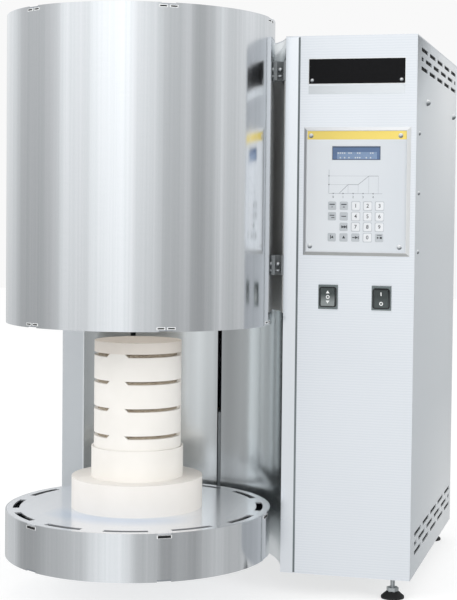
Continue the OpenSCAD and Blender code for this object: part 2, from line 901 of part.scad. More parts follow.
// Two side walls and a top plate that carry the motor over the coupling
module motor_stand() {
    z0 = mast_z1;
    wall_x = (motor_w + stand_t) / 2;
    for (s = [-1, 1]) translate([arm_mid_x + s * wall_x - stand_t / 2, rod_y - motor_w / 2, z0])
        cube([stand_t, motor_w, motor_z0 - z0]);
    difference() {
        block(
            [arm_mid_x - motor_w / 2, rod_y - motor_w / 2, motor_z0 - stand_t],
            [arm_mid_x + motor_w / 2, rod_y + motor_w / 2, motor_z0]
        );
        translate([arm_mid_x, rod_y, motor_z0 - stand_t - eps])
            cylinder(r = stand_bore_r, h = stand_t + 2 * eps);
    }
}

module guide_rods() {
    color(stainless) on_axis() for (x = rod_x) translate([x, rod_y, mast_z0])
        cylinder(r = rod_r, h = mast_z1 - mast_z0);
}

module spindle_bearings() {
    color(dark_steel) on_axis() translate([arm_mid_x, rod_y, 0]) {
        tube(bearing_r, screw_r + run_clear, mast_z0 + screw_floor_gap, mast_z0 + end_block_h);
        tube(bearing_r, screw_r + run_clear, top_block_z0, top_block_z0 + end_block_h);
    }
}

module lift_motor() {
    color(dark_plastic) on_axis() translate([arm_mid_x, rod_y, 0]) {
        for (z = [motor_z0, motor_z0 + motor_h - motor_flange_t])
            linear_z(z, z + motor_flange_t) square([motor_w, motor_w], center = true);
        translate([0, 0, motor_z0 + motor_flange_t])
            cylinder(r = motor_w / 2 - 1, h = motor_h - 2 * motor_flange_t);
    }
}

// A flat figure made a plate between two heights
module linear_z(z0, z1) {
    translate([0, 0, z0]) linear_extrude(z1 - z0) children();
}

// Laminated core with two windows, and the winding round its middle limb
module transformer() {
    window_w = (transformer_d - 3 * transformer_limb) / 2;
    window_h = transformer_h - 2 * transformer_yoke;
    limb_y0 = transformer_limb + window_w;
    color(dark_steel) on_axis() translate([transformer_x0, transformer_y0, floor_top]) {
        difference() {
            cube([transformer_w, transformer_d, transformer_h]);
            for (y = [transformer_limb, limb_y0 + transformer_limb]) translate([-eps, y, transformer_yoke])
                cube([transformer_w + 2 * eps, window_w, window_h]);
        }
        difference() {
            block(
                [-winding_proud, transformer_limb + fit_gap, transformer_yoke + winding_end_gap],
                [
                    transformer_w + winding_proud,
                    transformer_d - transformer_limb - fit_gap,
                    transformer_yoke + window_h - winding_end_gap
                ]
            );
            block(
                [-fit_gap, limb_y0 - fit_gap, 0],
                [transformer_w + fit_gap, limb_y0 + transformer_limb + fit_gap, transformer_h]
            );
        }
    }
}

// Sheet on which the power parts are fixed, standing on the floor sheet
module mounting_plate() {
    color(zinc) on_axis() sheet_x(mount_x, mount_x + mount_t)
        translate([mount_y0, floor_top])
            square([mount_y1 - mount_y0, housing_z1 - mount_top_gap - floor_top]);
}

// Power controller with a finned heat sink
module power_controller() {
    z0 = floor_top + heat_sink_rise;
    color(black) on_axis() translate([mount_x + mount_t, mount_y0 + heat_sink_set, z0]) {
        cube([heat_sink_base, (heat_sink_fins - 1) * fin_pitch + fin_t, heat_sink_h]);
        for (k = [0 : heat_sink_fins - 1]) translate([heat_sink_base, k * fin_pitch, 0])
            cube([fin_depth, fin_t, heat_sink_h]);
    }
}

// Contactor and, beside it, the block of terminals
module contactor() {
    y0 = mount_y0 + contactor_set;
    color(dark_plastic) on_axis() translate([mount_x + mount_t, y0, floor_top + contactor_rise]) {
        cube([contactor_t, contactor_w, contactor_h]);
        translate([0, contactor_w + terminals_set, 0]) cube([terminals_t, terminals_w, terminals_h]);
    }
}

module controller_case() {
    color(dark_plastic) on_axis() difference() {
        block([case_x0, front_y, case_z0], [case_x0 + case_w, front_y + case_depth, case_z0 + case_h]);
        block(
            [case_x0 + case_wall, front_y + case_wall, case_z0 + case_wall],
            [case_x0 + case_w - case_wall, front_y + case_depth - case_wall, case_z0 + case_h - case_wall]
        );
    }
}

// Frame with four sloping edges, drawn as a stepped pyramid of two outlines
module controller_bezel() {
    color(side_grey) on_axis() difference() {
        hull() {
            block([bezel_x0, front_y - 1, bezel_z0], [bezel_x0 + bezel_w, front_y, bezel_z1]);
            block(
                [bezel_x0 + bezel_slope, front_y - bezel_t, bezel_z0 + bezel_slope],
                [bezel_x0 + bezel_w - bezel_slope, front_y, bezel_z1 - bezel_slope]
            );
        }
        block(
            [foil_x0, front_y - bezel_t - eps, foil_z0],
            [foil_x0 + foil_w, foil_y + foil_t, foil_z1]
        );
        block([case_x0, foil_y, case_z0], [case_x0 + case_w, front_y + eps, case_z0 + case_h]);
    }
}

module controller_foil() {
    color(foil_grey) on_axis() difference() {
        block(
            [foil_x0 + slip, foil_y, foil_z0 + slip],
            [foil_x0 + foil_w - slip, foil_y + foil_t, foil_z1 - slip]
        );
        block(
            [lcd_x0, foil_y - eps, lcd_z0],
            [lcd_x0 + lcd_w, foil_y + foil_t + eps, lcd_z0 + lcd_h]
        );
    }
}

module display_window() {
    color(lcd_blue) on_axis() block(
        [lcd_x0, foil_y - lcd_proud, lcd_z0],
        [lcd_x0 + lcd_w, foil_y + foil_t, lcd_z0 + lcd_h]
    );
}

// Raised fields of the foil, one for each key
module keypad_keys() {
    color(key_grey) on_axis() for (row = [0 : 3]) for (col = [0 : 4]) if (key_rows[row][col] == 1) {
        x = key_x0 + col * key_pitch_x;
        z = key_top_z - row * key_pitch_z;
        block(
            [x - key_w / 2, foil_y - key_proud, z - key_w / 2],
            [x + key_w / 2, foil_y, z + key_w / 2]
        );
    }
}

module nameplate() {
    color(black) on_axis() block(
        [plate_x0, front_y - plate_t, plate_z0],
        [plate_x0 + plate_w, front_y, plate_z0 + plate_h]
    );
}

// Snap-in body of a rocker switch with its rim and its well
module switch_housing(x) {
    w = switch_body_w - 2 * slip;
    h = switch_body_h - 2 * slip;
    well_w = rocker_w + 2 * rocker_gap;
    well_h = rocker_h + 2 * rocker_gap;
    difference() {
        union() {
            block(
                [x - switch_w / 2, front_y - switch_rim_t, switch_z - switch_h / 2],
                [x + switch_w / 2, front_y, switch_z + switch_h / 2]
            );
            block(
                [x - w / 2, front_y, switch_z - h / 2],
                [x + w / 2, front_y + switch_depth, switch_z + h / 2]
            );
        }
        block(
            [x - well_w / 2, front_y - switch_rim_t - eps, switch_z - well_h / 2],
            [x + well_w / 2, front_y + switch_depth - switch_back_t, switch_z + well_h / 2]
        );
        for (s = [-1, 1]) translate([x + s * well_w / 2, pivot_y, switch_z]) rotate([0, 90, 0])
            cylinder(r = pivot_r + run_clear, h = 2 * pivot_stub, center = true);
    }
}

// Rocker with a shallow V front, turned about its pivot by a rest angle
module switch_rocker(x, rest) {
    half = rocker_h / 2;
    y_front = front_y - switch_rim_t - rocker_proud;
    translate([x, pivot_y, switch_z]) rotate([rest, 0, 0]) translate([-x, -pivot_y, -switch_z]) {
        sheet_x(x - rocker_w / 2, x + rocker_w / 2) polygon([
            [y_front, switch_z - half + rocker_corner],
            [y_front + rocker_valley, switch_z],
            [y_front, switch_z + half - rocker_corner],
            [pivot_y + 1, switch_z + half - rocker_draw],
            [pivot_y + rocker_body, switch_z + rocker_heel],
            [pivot_y + rocker_body, switch_z - rocker_heel],
            [pivot_y + 1, switch_z - half + rocker_draw]
        ]);
        translate([x, pivot_y, switch_z]) rotate([0, 90, 0])
            cylinder(r = pivot_r, h = rocker_w + 2 * (rocker_gap + pivot_stub - 0.3), center = true);
    }
}

module table_switch_housing() {
    color(rim_grey) on_axis() switch_housing(switch_x[0]);
}

module main_switch_housing() {
    color(rim_grey) on_axis() switch_housing(switch_x[1]);
}

module table_switch_rocker() {
    color(rocker_grey) on_axis() switch_rocker(switch_x[0], 0);
}

module main_switch_rocker() {
    color(rocker_grey) on_axis() switch_rocker(switch_x[1], rocker_tip);
}

// A low domed screw head on a seat, pointing along +Z
module dome(r, h) {
    ball = (r * r + h * h) / (2 * h);
    intersection() {
        translate([0, 0, h - ball]) sphere(r = ball, $fn = 48);
        cylinder(r = r + eps, h = h + eps, $fn = 48);
    }
}

// All dome-headed screws: side panels, controller frame, nameplate and back panel
module panel_screws() {
    color(zinc) on_axis() {
        for (y = side_screw_ys) translate([right_x, y, side_screw_z]) rotate([0, 90, 0])
            dome(screw_head_r, screw_head_h);
        for (drop = rivet_drops) translate([right_x, rivet_y, housing_z1 - drop]) rotate([0, 90, 0])
            dome(rivet_r, rivet_h);
        translate([left_side_x, side_screw_ys[1], side_screw_z]) rotate([0, -90, 0])
            dome(screw_head_r, screw_head_h);
        for (x = bezel_screw_xs) for (z = bezel_screw_zs) translate([x, foil_y, z]) rotate([90, 0, 0])
            dome(bezel_screw_r, bezel_screw_h);
        for (x = [plate_x0 + plate_screw_inset, plate_x0 + plate_w - plate_screw_inset])
            translate([x, front_y - plate_t, plate_z0 + plate_screw_inset]) rotate([90, 0, 0])
                dome(plate_screw_r, plate_screw_h);
        for (x = back_screw_xs) for (z = [housing_z0 + back_screw_inset, housing_z1 - back_screw_inset])
            translate([x, back_panel_y + sheet_t, z]) rotate([-90, 0, 0]) dome(back_screw_r, back_screw_h);
    }
}

// Square frame with a round way and a four-armed spider that holds the axle
module fan_frame() {
    color(dark_plastic) on_axis() difference() {
        block(
            [fan_x - fan_size / 2, fan_y0, fan_z - fan_size / 2],
            [fan_x + fan_size / 2, fan_y1, fan_z + fan_size / 2]
        );
        translate([fan_x, fan_y0 + spider_t, fan_z]) rotate([-90, 0, 0])
            cylinder(r = fan_hole_r, h = fan_depth + eps);
        translate([fan_x, fan_y0 - eps, fan_z]) rotate([-90, 0, 0]) at_each_turn(4, 45) ring_sector(
            hub_r + spider_gap, fan_hole_r - slip, 0, spider_t + 2 * eps,
            -45 + spider_half_deg, 45 - spider_half_deg
        );
        translate([fan_x, fan_y0 - eps, fan_z]) rotate([-90, 0, 0])
            cylinder(r = axle_r + run_clear, h = spider_t + 2 * eps);
    }
}

// Hub with pitched blades, on an axle in the frame's spider
module fan_rotor() {
    color(black) on_axis() translate([fan_x, fan_y0, fan_z]) rotate([-90, 0, 0]) {
        translate([0, 0, spider_t + hub_gap]) cylinder(r = hub_r, h = hub_h);
        cylinder(r = axle_r, h = spider_t + 2 * hub_gap);
        at_each_turn(blade_count, 0) translate([hub_r - 2, 0, spider_t + hub_gap + hub_h / 2])
            rotate([blade_pitch_deg, 0, 0]) translate([0, -blade_chord / 2, -blade_t / 2])
                cube([rotor_r - hub_r - 2, blade_chord, blade_t]);
    }
}

// Wire rings on a cross of wires
module fan_guard() {
    color(zinc) on_axis() translate([fan_x, back_panel_y + sheet_t + guard_wire, fan_z]) rotate([-90, 0, 0]) {
        for (k = [1 : guard_rings]) tube(k * fan_hole_r / guard_rings + guard_wire,
            k * fan_hole_r / guard_rings - guard_wire, -guard_wire, guard_wire);
        spoke = fan_hole_r * (guard_rings - 1) / guard_rings + guard_foot;
        at_each_turn(4, 45) translate([fan_hole_r / guard_rings, -guard_wire, -guard_wire])
            cube([spoke, 2 * guard_wire, 2 * guard_wire]);
    }
}

// Three-pole appliance inlet with a screwed flange
module mains_inlet() {
    color(black) on_axis() difference() {
        union() {
            block(
                [fan_x - inlet_w / 2, back_panel_y + sheet_t, inlet_z - inlet_h / 2],
                [fan_x + inlet_w / 2, back_panel_y + sheet_t + inlet_flange, inlet_z + inlet_h / 2]
            );
            block(
                [
                    fan_x - inlet_w / 2 + inlet_lip + slip,
                    back_panel_y - inlet_depth,
                    inlet_z - inlet_h / 2 + inlet_lip + slip
                ],
                [
                    fan_x + inlet_w / 2 - inlet_lip - slip,
                    back_panel_y + sheet_t,
                    inlet_z + inlet_h / 2 - inlet_lip - slip
                ]
            );
        }
        block(
            [fan_x - socket_w / 2, back_panel_y - inlet_depth + inlet_back_t, inlet_z - socket_h / 2],
            [fan_x + socket_w / 2, back_y, inlet_z + socket_h / 2]
        );
    }
}

module foot_pads() {
    color(black) on_axis() for (p = foot_spots) translate([p[0], p[1], 0]) rotate_extrude() polygon([
        [0, 0], [foot_r, 0], [foot_r, foot_pad_rim], [foot_neck_r, foot_pad_h], [0, foot_pad_h]
    ]);
}

// Stud, hex nut and collar over each pad, and a lock nut on the floor sheet
module foot_studs() {
    color(zinc) on_axis() for (p = foot_spots) translate([p[0], p[1], 0]) {
        translate([0, 0, foot_pad_h]) cylinder(r = foot_stud_r, h = floor_top + foot_stud_proud - foot_pad_h);
        translate([0, 0, foot_pad_h]) cylinder(r = foot_nut_w / 2 / cos(30), h = foot_nut_h, $fn = 6);
        translate([0, 0, floor_top]) cylinder(r = foot_nut_w / 2 / cos(30), h = foot_nut_h, $fn = 6);
        translate([0, 0, floor_z - foot_collar_h]) cylinder(r = foot_collar_r, h = foot_collar_h);
    }
}

module table_jacket() {
    color(stainless) on_axis() difference() {
        tube(drum_r, jacket_in_r, table_z0, table_z1);
        tabs(table_z0 - eps, table_z0 + tab_notch_h, jacket_in_r - eps, drum_r + eps, fit_gap);
        tabs(table_z1 - tab_notch_h, table_z1 + eps, jacket_in_r - eps, drum_r + eps, fit_gap);
        for (x = arm_x) block(
            [x - arm_t / 2 - fit_gap, 0, arm_z0 - fit_gap],
            [x + arm_t / 2 + fit_gap, drum_r + eps, arm_low_top + fit_gap]
        );
    }
}

module table_top_plate() {
    r_out = drum_r - rim_land;
    z0 = table_z1 - tab_notch_h;
    color(stainless) on_axis() {
        difference() {
            translate([0, 0, table_z1 - cover_t]) cylinder(r = cover_r, h = cover_t);
            at_each_turn(rim_slot_count, -90 + 180 / rim_slot_count - 1)
                ring_sector(
                    r_out - rim_slot_w, r_out, z0 - eps, table_z1 + eps,
                    -rim_slot_deg / 2, rim_slot_deg / 2
                );
        }
        tabs(table_z1 - cover_t, table_z1, cover_r - 2, drum_r, 0);
    }
}

module table_bottom_plate() {
    color(stainless) on_axis() {
        translate([0, 0, table_z0 + tab_notch_h - cover_t]) cylinder(r = cover_r, h = cover_t);
        tabs(table_z0 + tab_notch_h - cover_t, table_z0 + tab_notch_h, cover_r - 2, drum_r, 0);
    }
}

module insulation_plug() {
    color(fibre) on_table() translate([0, 0, table_z1]) cylinder(r = plug_r, h = plug_h);
}

module saggar_pedestal() {
    color(ceramic_white) on_table() difference() {
        translate([0, 0, plug_z1]) cylinder(r = pedestal_r, h = pedestal_h);
        translate([0, 0, dish_z0]) cylinder(r = dish_r + dish_clear, h = pedestal_recess + eps);
    }
}

// L-shaped plates: the low leg runs into the table, the tall leg stands in the slots
module lift_arms() {
    color(side_grey) on_axis() for (x = arm_x) {
        tall_y = sqrt(hollow_r * hollow_r - x * x) + 2;
        sheet_x(x - arm_t / 2, x + arm_t / 2) polygon([
            [arm_front_y, arm_z0],
            [carriage_front_y, arm_z0],
            [carriage_front_y, arm_z1],
            [tall_y, arm_z1],
            [tall_y, arm_low_top],
            [arm_front_y, arm_low_top]
        ]);
        s = (x > arm_mid_x) ? -1 : 1;
        foot_x0 = (s > 0) ? x + arm_t / 2 : x - arm_t / 2 - arm_foot_w;
        block(
            [foot_x0, arm_front_y, table_z0 + tab_notch_h],
            [foot_x0 + arm_foot_w, arm_front_y + arm_foot_l, arm_z0 + arm_t]
        );
    }
}

// Plate, four bush blocks and the nut's tray, on the guide rods
module carriage() {
    color(side_grey) on_axis() {
        block(
            [arm_mid_x - carriage_w / 2, carriage_front_y, carriage_z0],
            [arm_mid_x + carriage_w / 2, carriage_back_y, carriage_z1]
        );
        for (x = rod_x) for (z = [carriage_z0, carriage_z1 - bush_l]) difference() {
            block(
                [x - block_w / 2, carriage_back_y, z],
                [x + block_w / 2, carriage_back_y + block_w, z + bush_l]
            );
            translate([x, rod_y, z - eps]) cylinder(r = bush_r, h = bush_l + 2 * eps);
        }
        difference() {
            block(
                [arm_mid_x - nut_flange_r, carriage_back_y, nut_z0 - nut_tray_t],
                [arm_mid_x + nut_flange_r, rod_y + nut_flange_r, nut_z0]
            );
            translate([arm_mid_x, rod_y, nut_z0 - nut_tray_t - eps])
                cylinder(r = nut_tray_bore, h = nut_tray_t + 2 * eps);
        }
    }
}

module guide_bushes() {
    color(bronze) on_axis() for (x = rod_x) for (z = [carriage_z0, carriage_z1 - bush_l])
        translate([x, rod_y, 0]) tube(bush_r, rod_r + run_clear, z, z + bush_l);
}

module spindle_nut() {
    color(bronze) on_axis() translate([arm_mid_x, rod_y, 0]) {
        tube(nut_flange_r, screw_r + run_clear, nut_z0, nut_z0 + nut_flange_t);
        tube(nut_r, screw_r + run_clear, nut_z0 + nut_flange_t, nut_z0 + nut_l);
    }
}

module lift_spindle() {
    color(stainless) on_axis() translate([arm_mid_x, rod_y, screw_z0])
        cylinder(r = screw_r, h = coupling_z0 + coupling_grip - screw_z0);
}

// Clamping coupling between the screw and the motor's shaft
module spindle_coupling() {
    color(side_grey) on_axis() translate([arm_mid_x, rod_y, 0]) {
        tube(coupling_r, screw_r, coupling_z0, coupling_z0 + coupling_grip);
        translate([0, 0, coupling_z0 + coupling_grip])
            cylinder(r = coupling_r, h = coupling_h - coupling_grip);
        translate([0, 0, coupling_z0 + coupling_h])
            cylinder(r = motor_shaft_r, h = motor_gap - fit_gap);
    }
}

// Wedge that slants one end of a notch, to one side
module notch_end(z, side) {
    rise = dish_notch_h + eps;
    translate([dish_r - dish_wall - eps, 0, z]) rotate([90, 0, 90]) linear_extrude(dish_wall + 2 * eps)
        polygon([[-side * slip, 0], [side * rise, rise], [-side * slip, rise]]);
}

// One firing dish: a round cup with three notches in its rim, slanted at their ends
module dish(k) {
    z0 = dish_z0 + k * dish_h;
    notch_deg = 120 - dish_post_deg;
    notch_z = z0 + dish_h - dish_notch_h;
    difference() {
        translate([0, 0, z0]) cylinder(r = dish_r, h = dish_h);
        translate([0, 0, z0 + dish_floor]) cylinder(r = dish_r - dish_wall, h = dish_h);
        at_each_turn(3, -90 + dish_turn + dish_post_deg / 2) {
            ring_sector(dish_r - dish_wall - eps, dish_r + eps, notch_z, z0 + dish_h + eps, 0, notch_deg);
            notch_end(notch_z, -1);
            rotate([0, 0, notch_deg]) notch_end(notch_z, 1);
        }
    }
}

module saggar_1() {
    color(ceramic_white) on_table() dish(0);
}

module saggar_2() {
    color(ceramic_white) on_table() dish(1);
}

module saggar_3() {
    color(ceramic_white) on_table() dish(2);
}

module saggar_4() {
    color(ceramic_white) on_table() dish(3);
}

module saggar_lid() {
    color(lid_beige) on_table() translate([0, 0, dish_z0 + 4 * dish_h]) cylinder(r = dish_r, h = dish_lid_t);
}

base_plate();
right_side_panel();
left_side_panel();
front_panel();
recess_sheet();
housing_lid();
back_panel();
drum_jacket();
drum_top_cover();
drum_bottom_ring();
drum_inner_shell();
chamber_wall_insulation();
chamber_roof_insulation();
exhaust_tube();
heating_elements();
element_holders();
thermocouple();
drum_brackets();
lift_mast();
lift_end_blocks();
guide_rods();
spindle_bearings();
lift_motor();
transformer();
mounting_plate();
power_controller();
contactor();
controller_case();
controller_bezel();
controller_foil();
display_window();
keypad_keys();
nameplate();
table_switch_housing();
main_switch_housing();
panel_screws();
fan_frame();
fan_guard();
mains_inlet();
foot_pads();
foot_studs();
table_jacket();
table_top_plate();
table_bottom_plate();
insulation_plug();
saggar_pedestal();
lift_arms();
carriage();
guide_bushes();
spindle_nut();
lift_spindle();
spindle_coupling();
fan_rotor();
table_switch_rocker();
main_switch_rocker();
saggar_1();
saggar_2();
saggar_3();
saggar_4();
saggar_lid();
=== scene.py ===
# %% [markdown]
# A dental lab furnace, dressed for its picture.
# The CAD model already holds every part at its true size: the round steel drum, the lifting
# table, the stack of firing dishes and the column with its controller. This lesson gives those
# parts their finishes, adds the fine pieces that a drawing leaves out, and lights the whole.

# %% Load the frame
import math
import bmesh
import bpy
from mathutils import Matrix, Vector
from mathutils.bvhtree import BVHTree


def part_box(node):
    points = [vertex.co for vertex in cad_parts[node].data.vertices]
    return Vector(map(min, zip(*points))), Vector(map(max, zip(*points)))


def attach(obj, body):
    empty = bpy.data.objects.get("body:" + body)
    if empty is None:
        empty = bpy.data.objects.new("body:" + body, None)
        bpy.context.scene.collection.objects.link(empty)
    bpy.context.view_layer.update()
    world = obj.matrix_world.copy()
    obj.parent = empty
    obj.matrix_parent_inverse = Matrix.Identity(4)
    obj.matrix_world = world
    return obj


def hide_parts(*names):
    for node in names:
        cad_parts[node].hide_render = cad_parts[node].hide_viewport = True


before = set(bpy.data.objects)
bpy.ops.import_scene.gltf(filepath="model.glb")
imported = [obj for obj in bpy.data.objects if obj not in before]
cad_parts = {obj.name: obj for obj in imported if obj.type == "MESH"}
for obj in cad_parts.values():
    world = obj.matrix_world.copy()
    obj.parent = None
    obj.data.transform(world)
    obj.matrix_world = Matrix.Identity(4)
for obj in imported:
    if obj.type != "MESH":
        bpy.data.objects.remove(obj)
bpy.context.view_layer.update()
MM = 0.001

# %% [markdown]
# Everything is placed from the CAD parts themselves. The drum's box gives its axis, and the
# front panel's box gives the plane that the controller and the switches stand on. So a part
# that changes size takes its dressing along.

# %% Places taken from the frame
drum_low, drum_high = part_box("drum_jacket")
AXIS = Vector(((drum_low.x + drum_high.x) / 2, (drum_low.y + drum_high.y) / 2, 0))
DRUM_R = (drum_high.x - drum_low.x) / 2
panel_low, panel_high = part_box("front_panel")
FRONT_Y = panel_low.y
print("drum radius in mm:", round(DRUM_R / MM, 1), "front plane at", round(FRONT_Y / MM, 1))

# %% [markdown]
# The picture is taken from a little right of the drum, at about the controller's height, with
# a long lens. A long lens far away keeps upright edges nearly parallel, as catalogue pictures
# do. The small turn about the line of sight is in the photograph too, so it is kept.

# %% Camera
CAMERA_AT = AXIS + Vector((0.63883, -1.78655, 0.50120))
YAW = 0.24552
PITCH = 0.03957
ROLL = 0.01161
LENS = 85.65
SHIFT = (-0.0869, -0.0443)


def add_object(name, data):
    """Puts a new object into the scene."""
    made = bpy.data.objects.new(name, data)
    bpy.context.scene.collection.objects.link(made)
    return made


def make_camera():
    forward = Vector((-math.sin(YAW) * math.cos(PITCH), math.cos(YAW) * math.cos(PITCH), -math.sin(PITCH)))
    level_right = Vector((math.cos(YAW), math.sin(YAW), 0))
    level_up = level_right.cross(forward)
    right = level_right * math.cos(ROLL) + level_up * math.sin(ROLL)
    up = level_up * math.cos(ROLL) - level_right * math.sin(ROLL)
    data = bpy.data.cameras.new("picture_camera")
    data.lens = LENS
    data.shift_x, data.shift_y = SHIFT
    camera = add_object("picture_camera", data)
    turn = Matrix((right, up, -forward)).transposed().to_4x4()
    camera.matrix_world = Matrix.Translation(CAMERA_AT) @ turn
    bpy.context.scene.camera = camera


make_camera()
bpy.context.scene.view_settings.view_transform = "Standard"
print("camera stands", round((CAMERA_AT - AXIS).length, 2), "m from the drum's axis")

# %% [markdown]
# Materials are node graphs. Short helpers keep them readable. One adds a node, sets it up and
# links its inputs, and the others stand for the nodes that are used most. Colours are written
# as they look on a screen and turned into the linear values that shaders use.

# %% Material helpers
FULL_TURN = (-math.pi, math.pi)


def linear(hex_colour):
    """A colour written as rrggbb, as linear red, green and blue with full cover."""
    parts = [int(hex_colour[i:i + 2], 16) / 255 for i in (0, 2, 4)]
    return [p / 12.92 if p <= 0.04045 else ((p + 0.055) / 1.055) ** 2.4 for p in parts] + [1]


def add_node(tree, kind, settings=None, inputs=None):
    """Adds a node and sets its options. An input takes a plain value or another node's socket."""
    node = tree.nodes.new("ShaderNode" + kind)
    for key, value in (settings or {}).items():
        setattr(node, key, value)
    for key, value in (inputs or {}).items():
        if isinstance(value, bpy.types.NodeSocket):
            tree.links.new(value, node.inputs[key])
        else:
            node.inputs[key].default_value = value
    return node


def start_material(name, colour, roughness, metallic=0.0, sockets=None):
    """A new material, its tree and its shader, with the plain values set on the shader."""
    material = bpy.data.materials.new(name)
    material.use_nodes = True
    shader = material.node_tree.nodes["Principled BSDF"]
    plain = {"Base Color": linear(colour), "Roughness": roughness, "Metallic": metallic}
    for key, value in {**plain, **(sockets or {})}.items():
        shader.inputs[key].default_value = value
    return material, material.node_tree, shader


def object_place(tree):
    return add_node(tree, "TexCoord").outputs["Object"]


def split(tree, vector=None):
    """The x, y and z of a vector, or of the place on the object."""
    return list(add_node(tree, "SeparateXYZ", None, {"Vector": vector or object_place(tree)}).outputs)


def calculate(tree, operation, *values):
    """One step of arithmetic with numbers and sockets."""
    return add_node(tree, "Math", {"operation": operation}, dict(enumerate(values))).outputs["Value"]


def vector_step(tree, operation, one, two):
    """One step of arithmetic with vectors: the result as a vector and as a number."""
    node = add_node(tree, "VectorMath", {"operation": operation}, {0: one, 1: two})
    return node.outputs[0], node.outputs[1]


def spread(tree, value, window, reach=(0.0, 1.0)):
    """Maps a window of values onto a reach of others and holds still beyond its ends."""
    names = ("From Min", "From Max", "To Min", "To Max")
    inputs = dict(zip(names, (*window, *reach)))
    return add_node(tree, "MapRange", None, {"Value": value, **inputs}).outputs["Result"]


def blend(tree, factor, one, two, colours=False):
    """Blends two numbers, or two colours."""
    kind, first, result = ("RGBA", 6, 2) if colours else ("FLOAT", 2, 0)
    node = add_node(tree, "Mix", {"data_type": kind}, {0: factor, first: one, first + 1: two})
    return node.outputs[result]


def ramp(tree, factor, stops):
    """Turns a factor into a colour by a list of places and colours."""
    node = add_node(tree, "ValToRGB", None, {"Fac": factor})
    elements = node.color_ramp.elements
    for i, (at, colour) in enumerate(stops):
        stop = elements[i] if i < 2 else elements.new(at)
        stop.position = at
        stop.color = colour
    return node.outputs["Color"]


def turn_stops(levels, tone):
    """Angles in degrees with light levels, as the places and colours of a ramp over a full turn."""
    return [((a + 180) / 360, (*(part * level for part in tone), 1)) for a, level in levels]


def noise(tree, stretch, detail=3.0, vector=None):
    """A noise whose cells are stretched: high numbers give fine cells along that axis."""
    if isinstance(stretch, (int, float)):
        stretch = (stretch, stretch, stretch)
    mapping = add_node(tree, "Mapping", None, {"Vector": vector or object_place(tree), "Scale": stretch})
    values = {"Vector": mapping.outputs["Vector"], "Scale": 1.0, "Detail": detail, "Roughness": 0.6}
    return add_node(tree, "TexNoise", None, values).outputs["Fac"]


def around_axis(tree):
    """The angle about the drum's axis and the height."""
    x, y, z = split(tree, vector_step(tree, "SUBTRACT", object_place(tree), AXIS)[0])
    return calculate(tree, "ARCTAN2", y, x), z


def roughen(tree, shader, factor, low, high):
    """Lets a factor swing the roughness between two values."""
    tree.links.new(spread(tree, factor, (0.3, 0.7), (low, high)), shader.inputs["Roughness"])


def tint(tree, shader, factor, dark, light, window=(0.3, 0.7)):
    """Lets a factor swing the base colour between two colours."""
    colour = ramp(tree, factor, zip(window, (linear(dark), linear(light))))
    tree.links.new(colour, shader.inputs["Base Color"])


def emboss(tree, shader, factor, strength, distance):
    """Turns a factor into fine relief."""
    bump = add_node(tree, "Bump", None, {"Height": factor, "Strength": strength, "Distance": distance})
    tree.links.new(bump.outputs["Normal"], shader.inputs["Normal"])


def stretch_shine_upright(tree, shader):
    """Brushing runs level, so the shine spreads upright: the tangent points up."""
    up = add_node(tree, "CombineXYZ", None, {"Z": 1.0})
    tree.links.new(up.outputs["Vector"], shader.inputs["Tangent"])


def paint(node_names, material):
    """Puts a material on CAD parts."""
    for name in node_names:
        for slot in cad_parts[name].material_slots:
            slot.material = material


print("material helpers ready")

# %% [markdown]
# The drum and the table's rim are rolled from bright stainless sheet. Rolling leaves faint
# upright ridges, which break the mirror image into fine upright streaks, and the brushing runs
# round the drum and shows as very fine level hairs. The ridges go into the relief, the hairs
# only into the colour, so the image stays sharp from side to side.

# %% Brushed stainless, round


def make_round_stainless():
    material, tree, shader = start_material("drum_stainless", "EDEFF2", 0.13, 1.0, {"Anisotropic": 0.5})
    angle, height = around_axis(tree)
    arc = calculate(tree, "MULTIPLY", angle, DRUM_R)
    unrolled = add_node(tree, "CombineXYZ", None, {"X": arc, "Z": height}).outputs["Vector"]
    ridges = noise(tree, (170, 1, 0.8), 4.0, unrolled)
    hairs = noise(tree, (40, 1, 2400), 3.0, unrolled)
    clouds = noise(tree, (60, 1, 2), 3.0, unrolled)
    tint(tree, shader, blend(tree, 0.3, ridges, hairs), "E4E8EA", "F5F6F9")
    roughen(tree, shader, clouds, 0.11, 0.16)
    emboss(tree, shader, ridges, 0.12, 0.0003)
    stretch_shine_upright(tree, shader)
    return material


paint(["drum_jacket", "table_jacket"], make_round_stainless())
print("brushed stainless on the drum and the table's rim")

# %% [markdown]
# The flat plates of the drum and the table are the same sheet, lying flat. The table's top is
# polished enough to mirror the foot of the white plug that stands on it. In front of the plug a
# faint blue is painted into the steel's colour: a painted reflection of the plug.

# %% Flat stainless
PLUG_REFLECTION_REACH = (0.105, 0.135)
PLUG_REFLECTION_BACK = (AXIS.y - 0.09, AXIS.y - 0.04)


def make_plate_steel():
    material, tree, shader = start_material("plate_stainless", "DCE0E6", 0.16, 1.0)
    tint(tree, shader, noise(tree, (1800, 12, 12), 3.0), "D3D8DF", "E0E4E9")
    roughen(tree, shader, noise(tree, 9, 2.0), 0.12, 0.2)
    return material


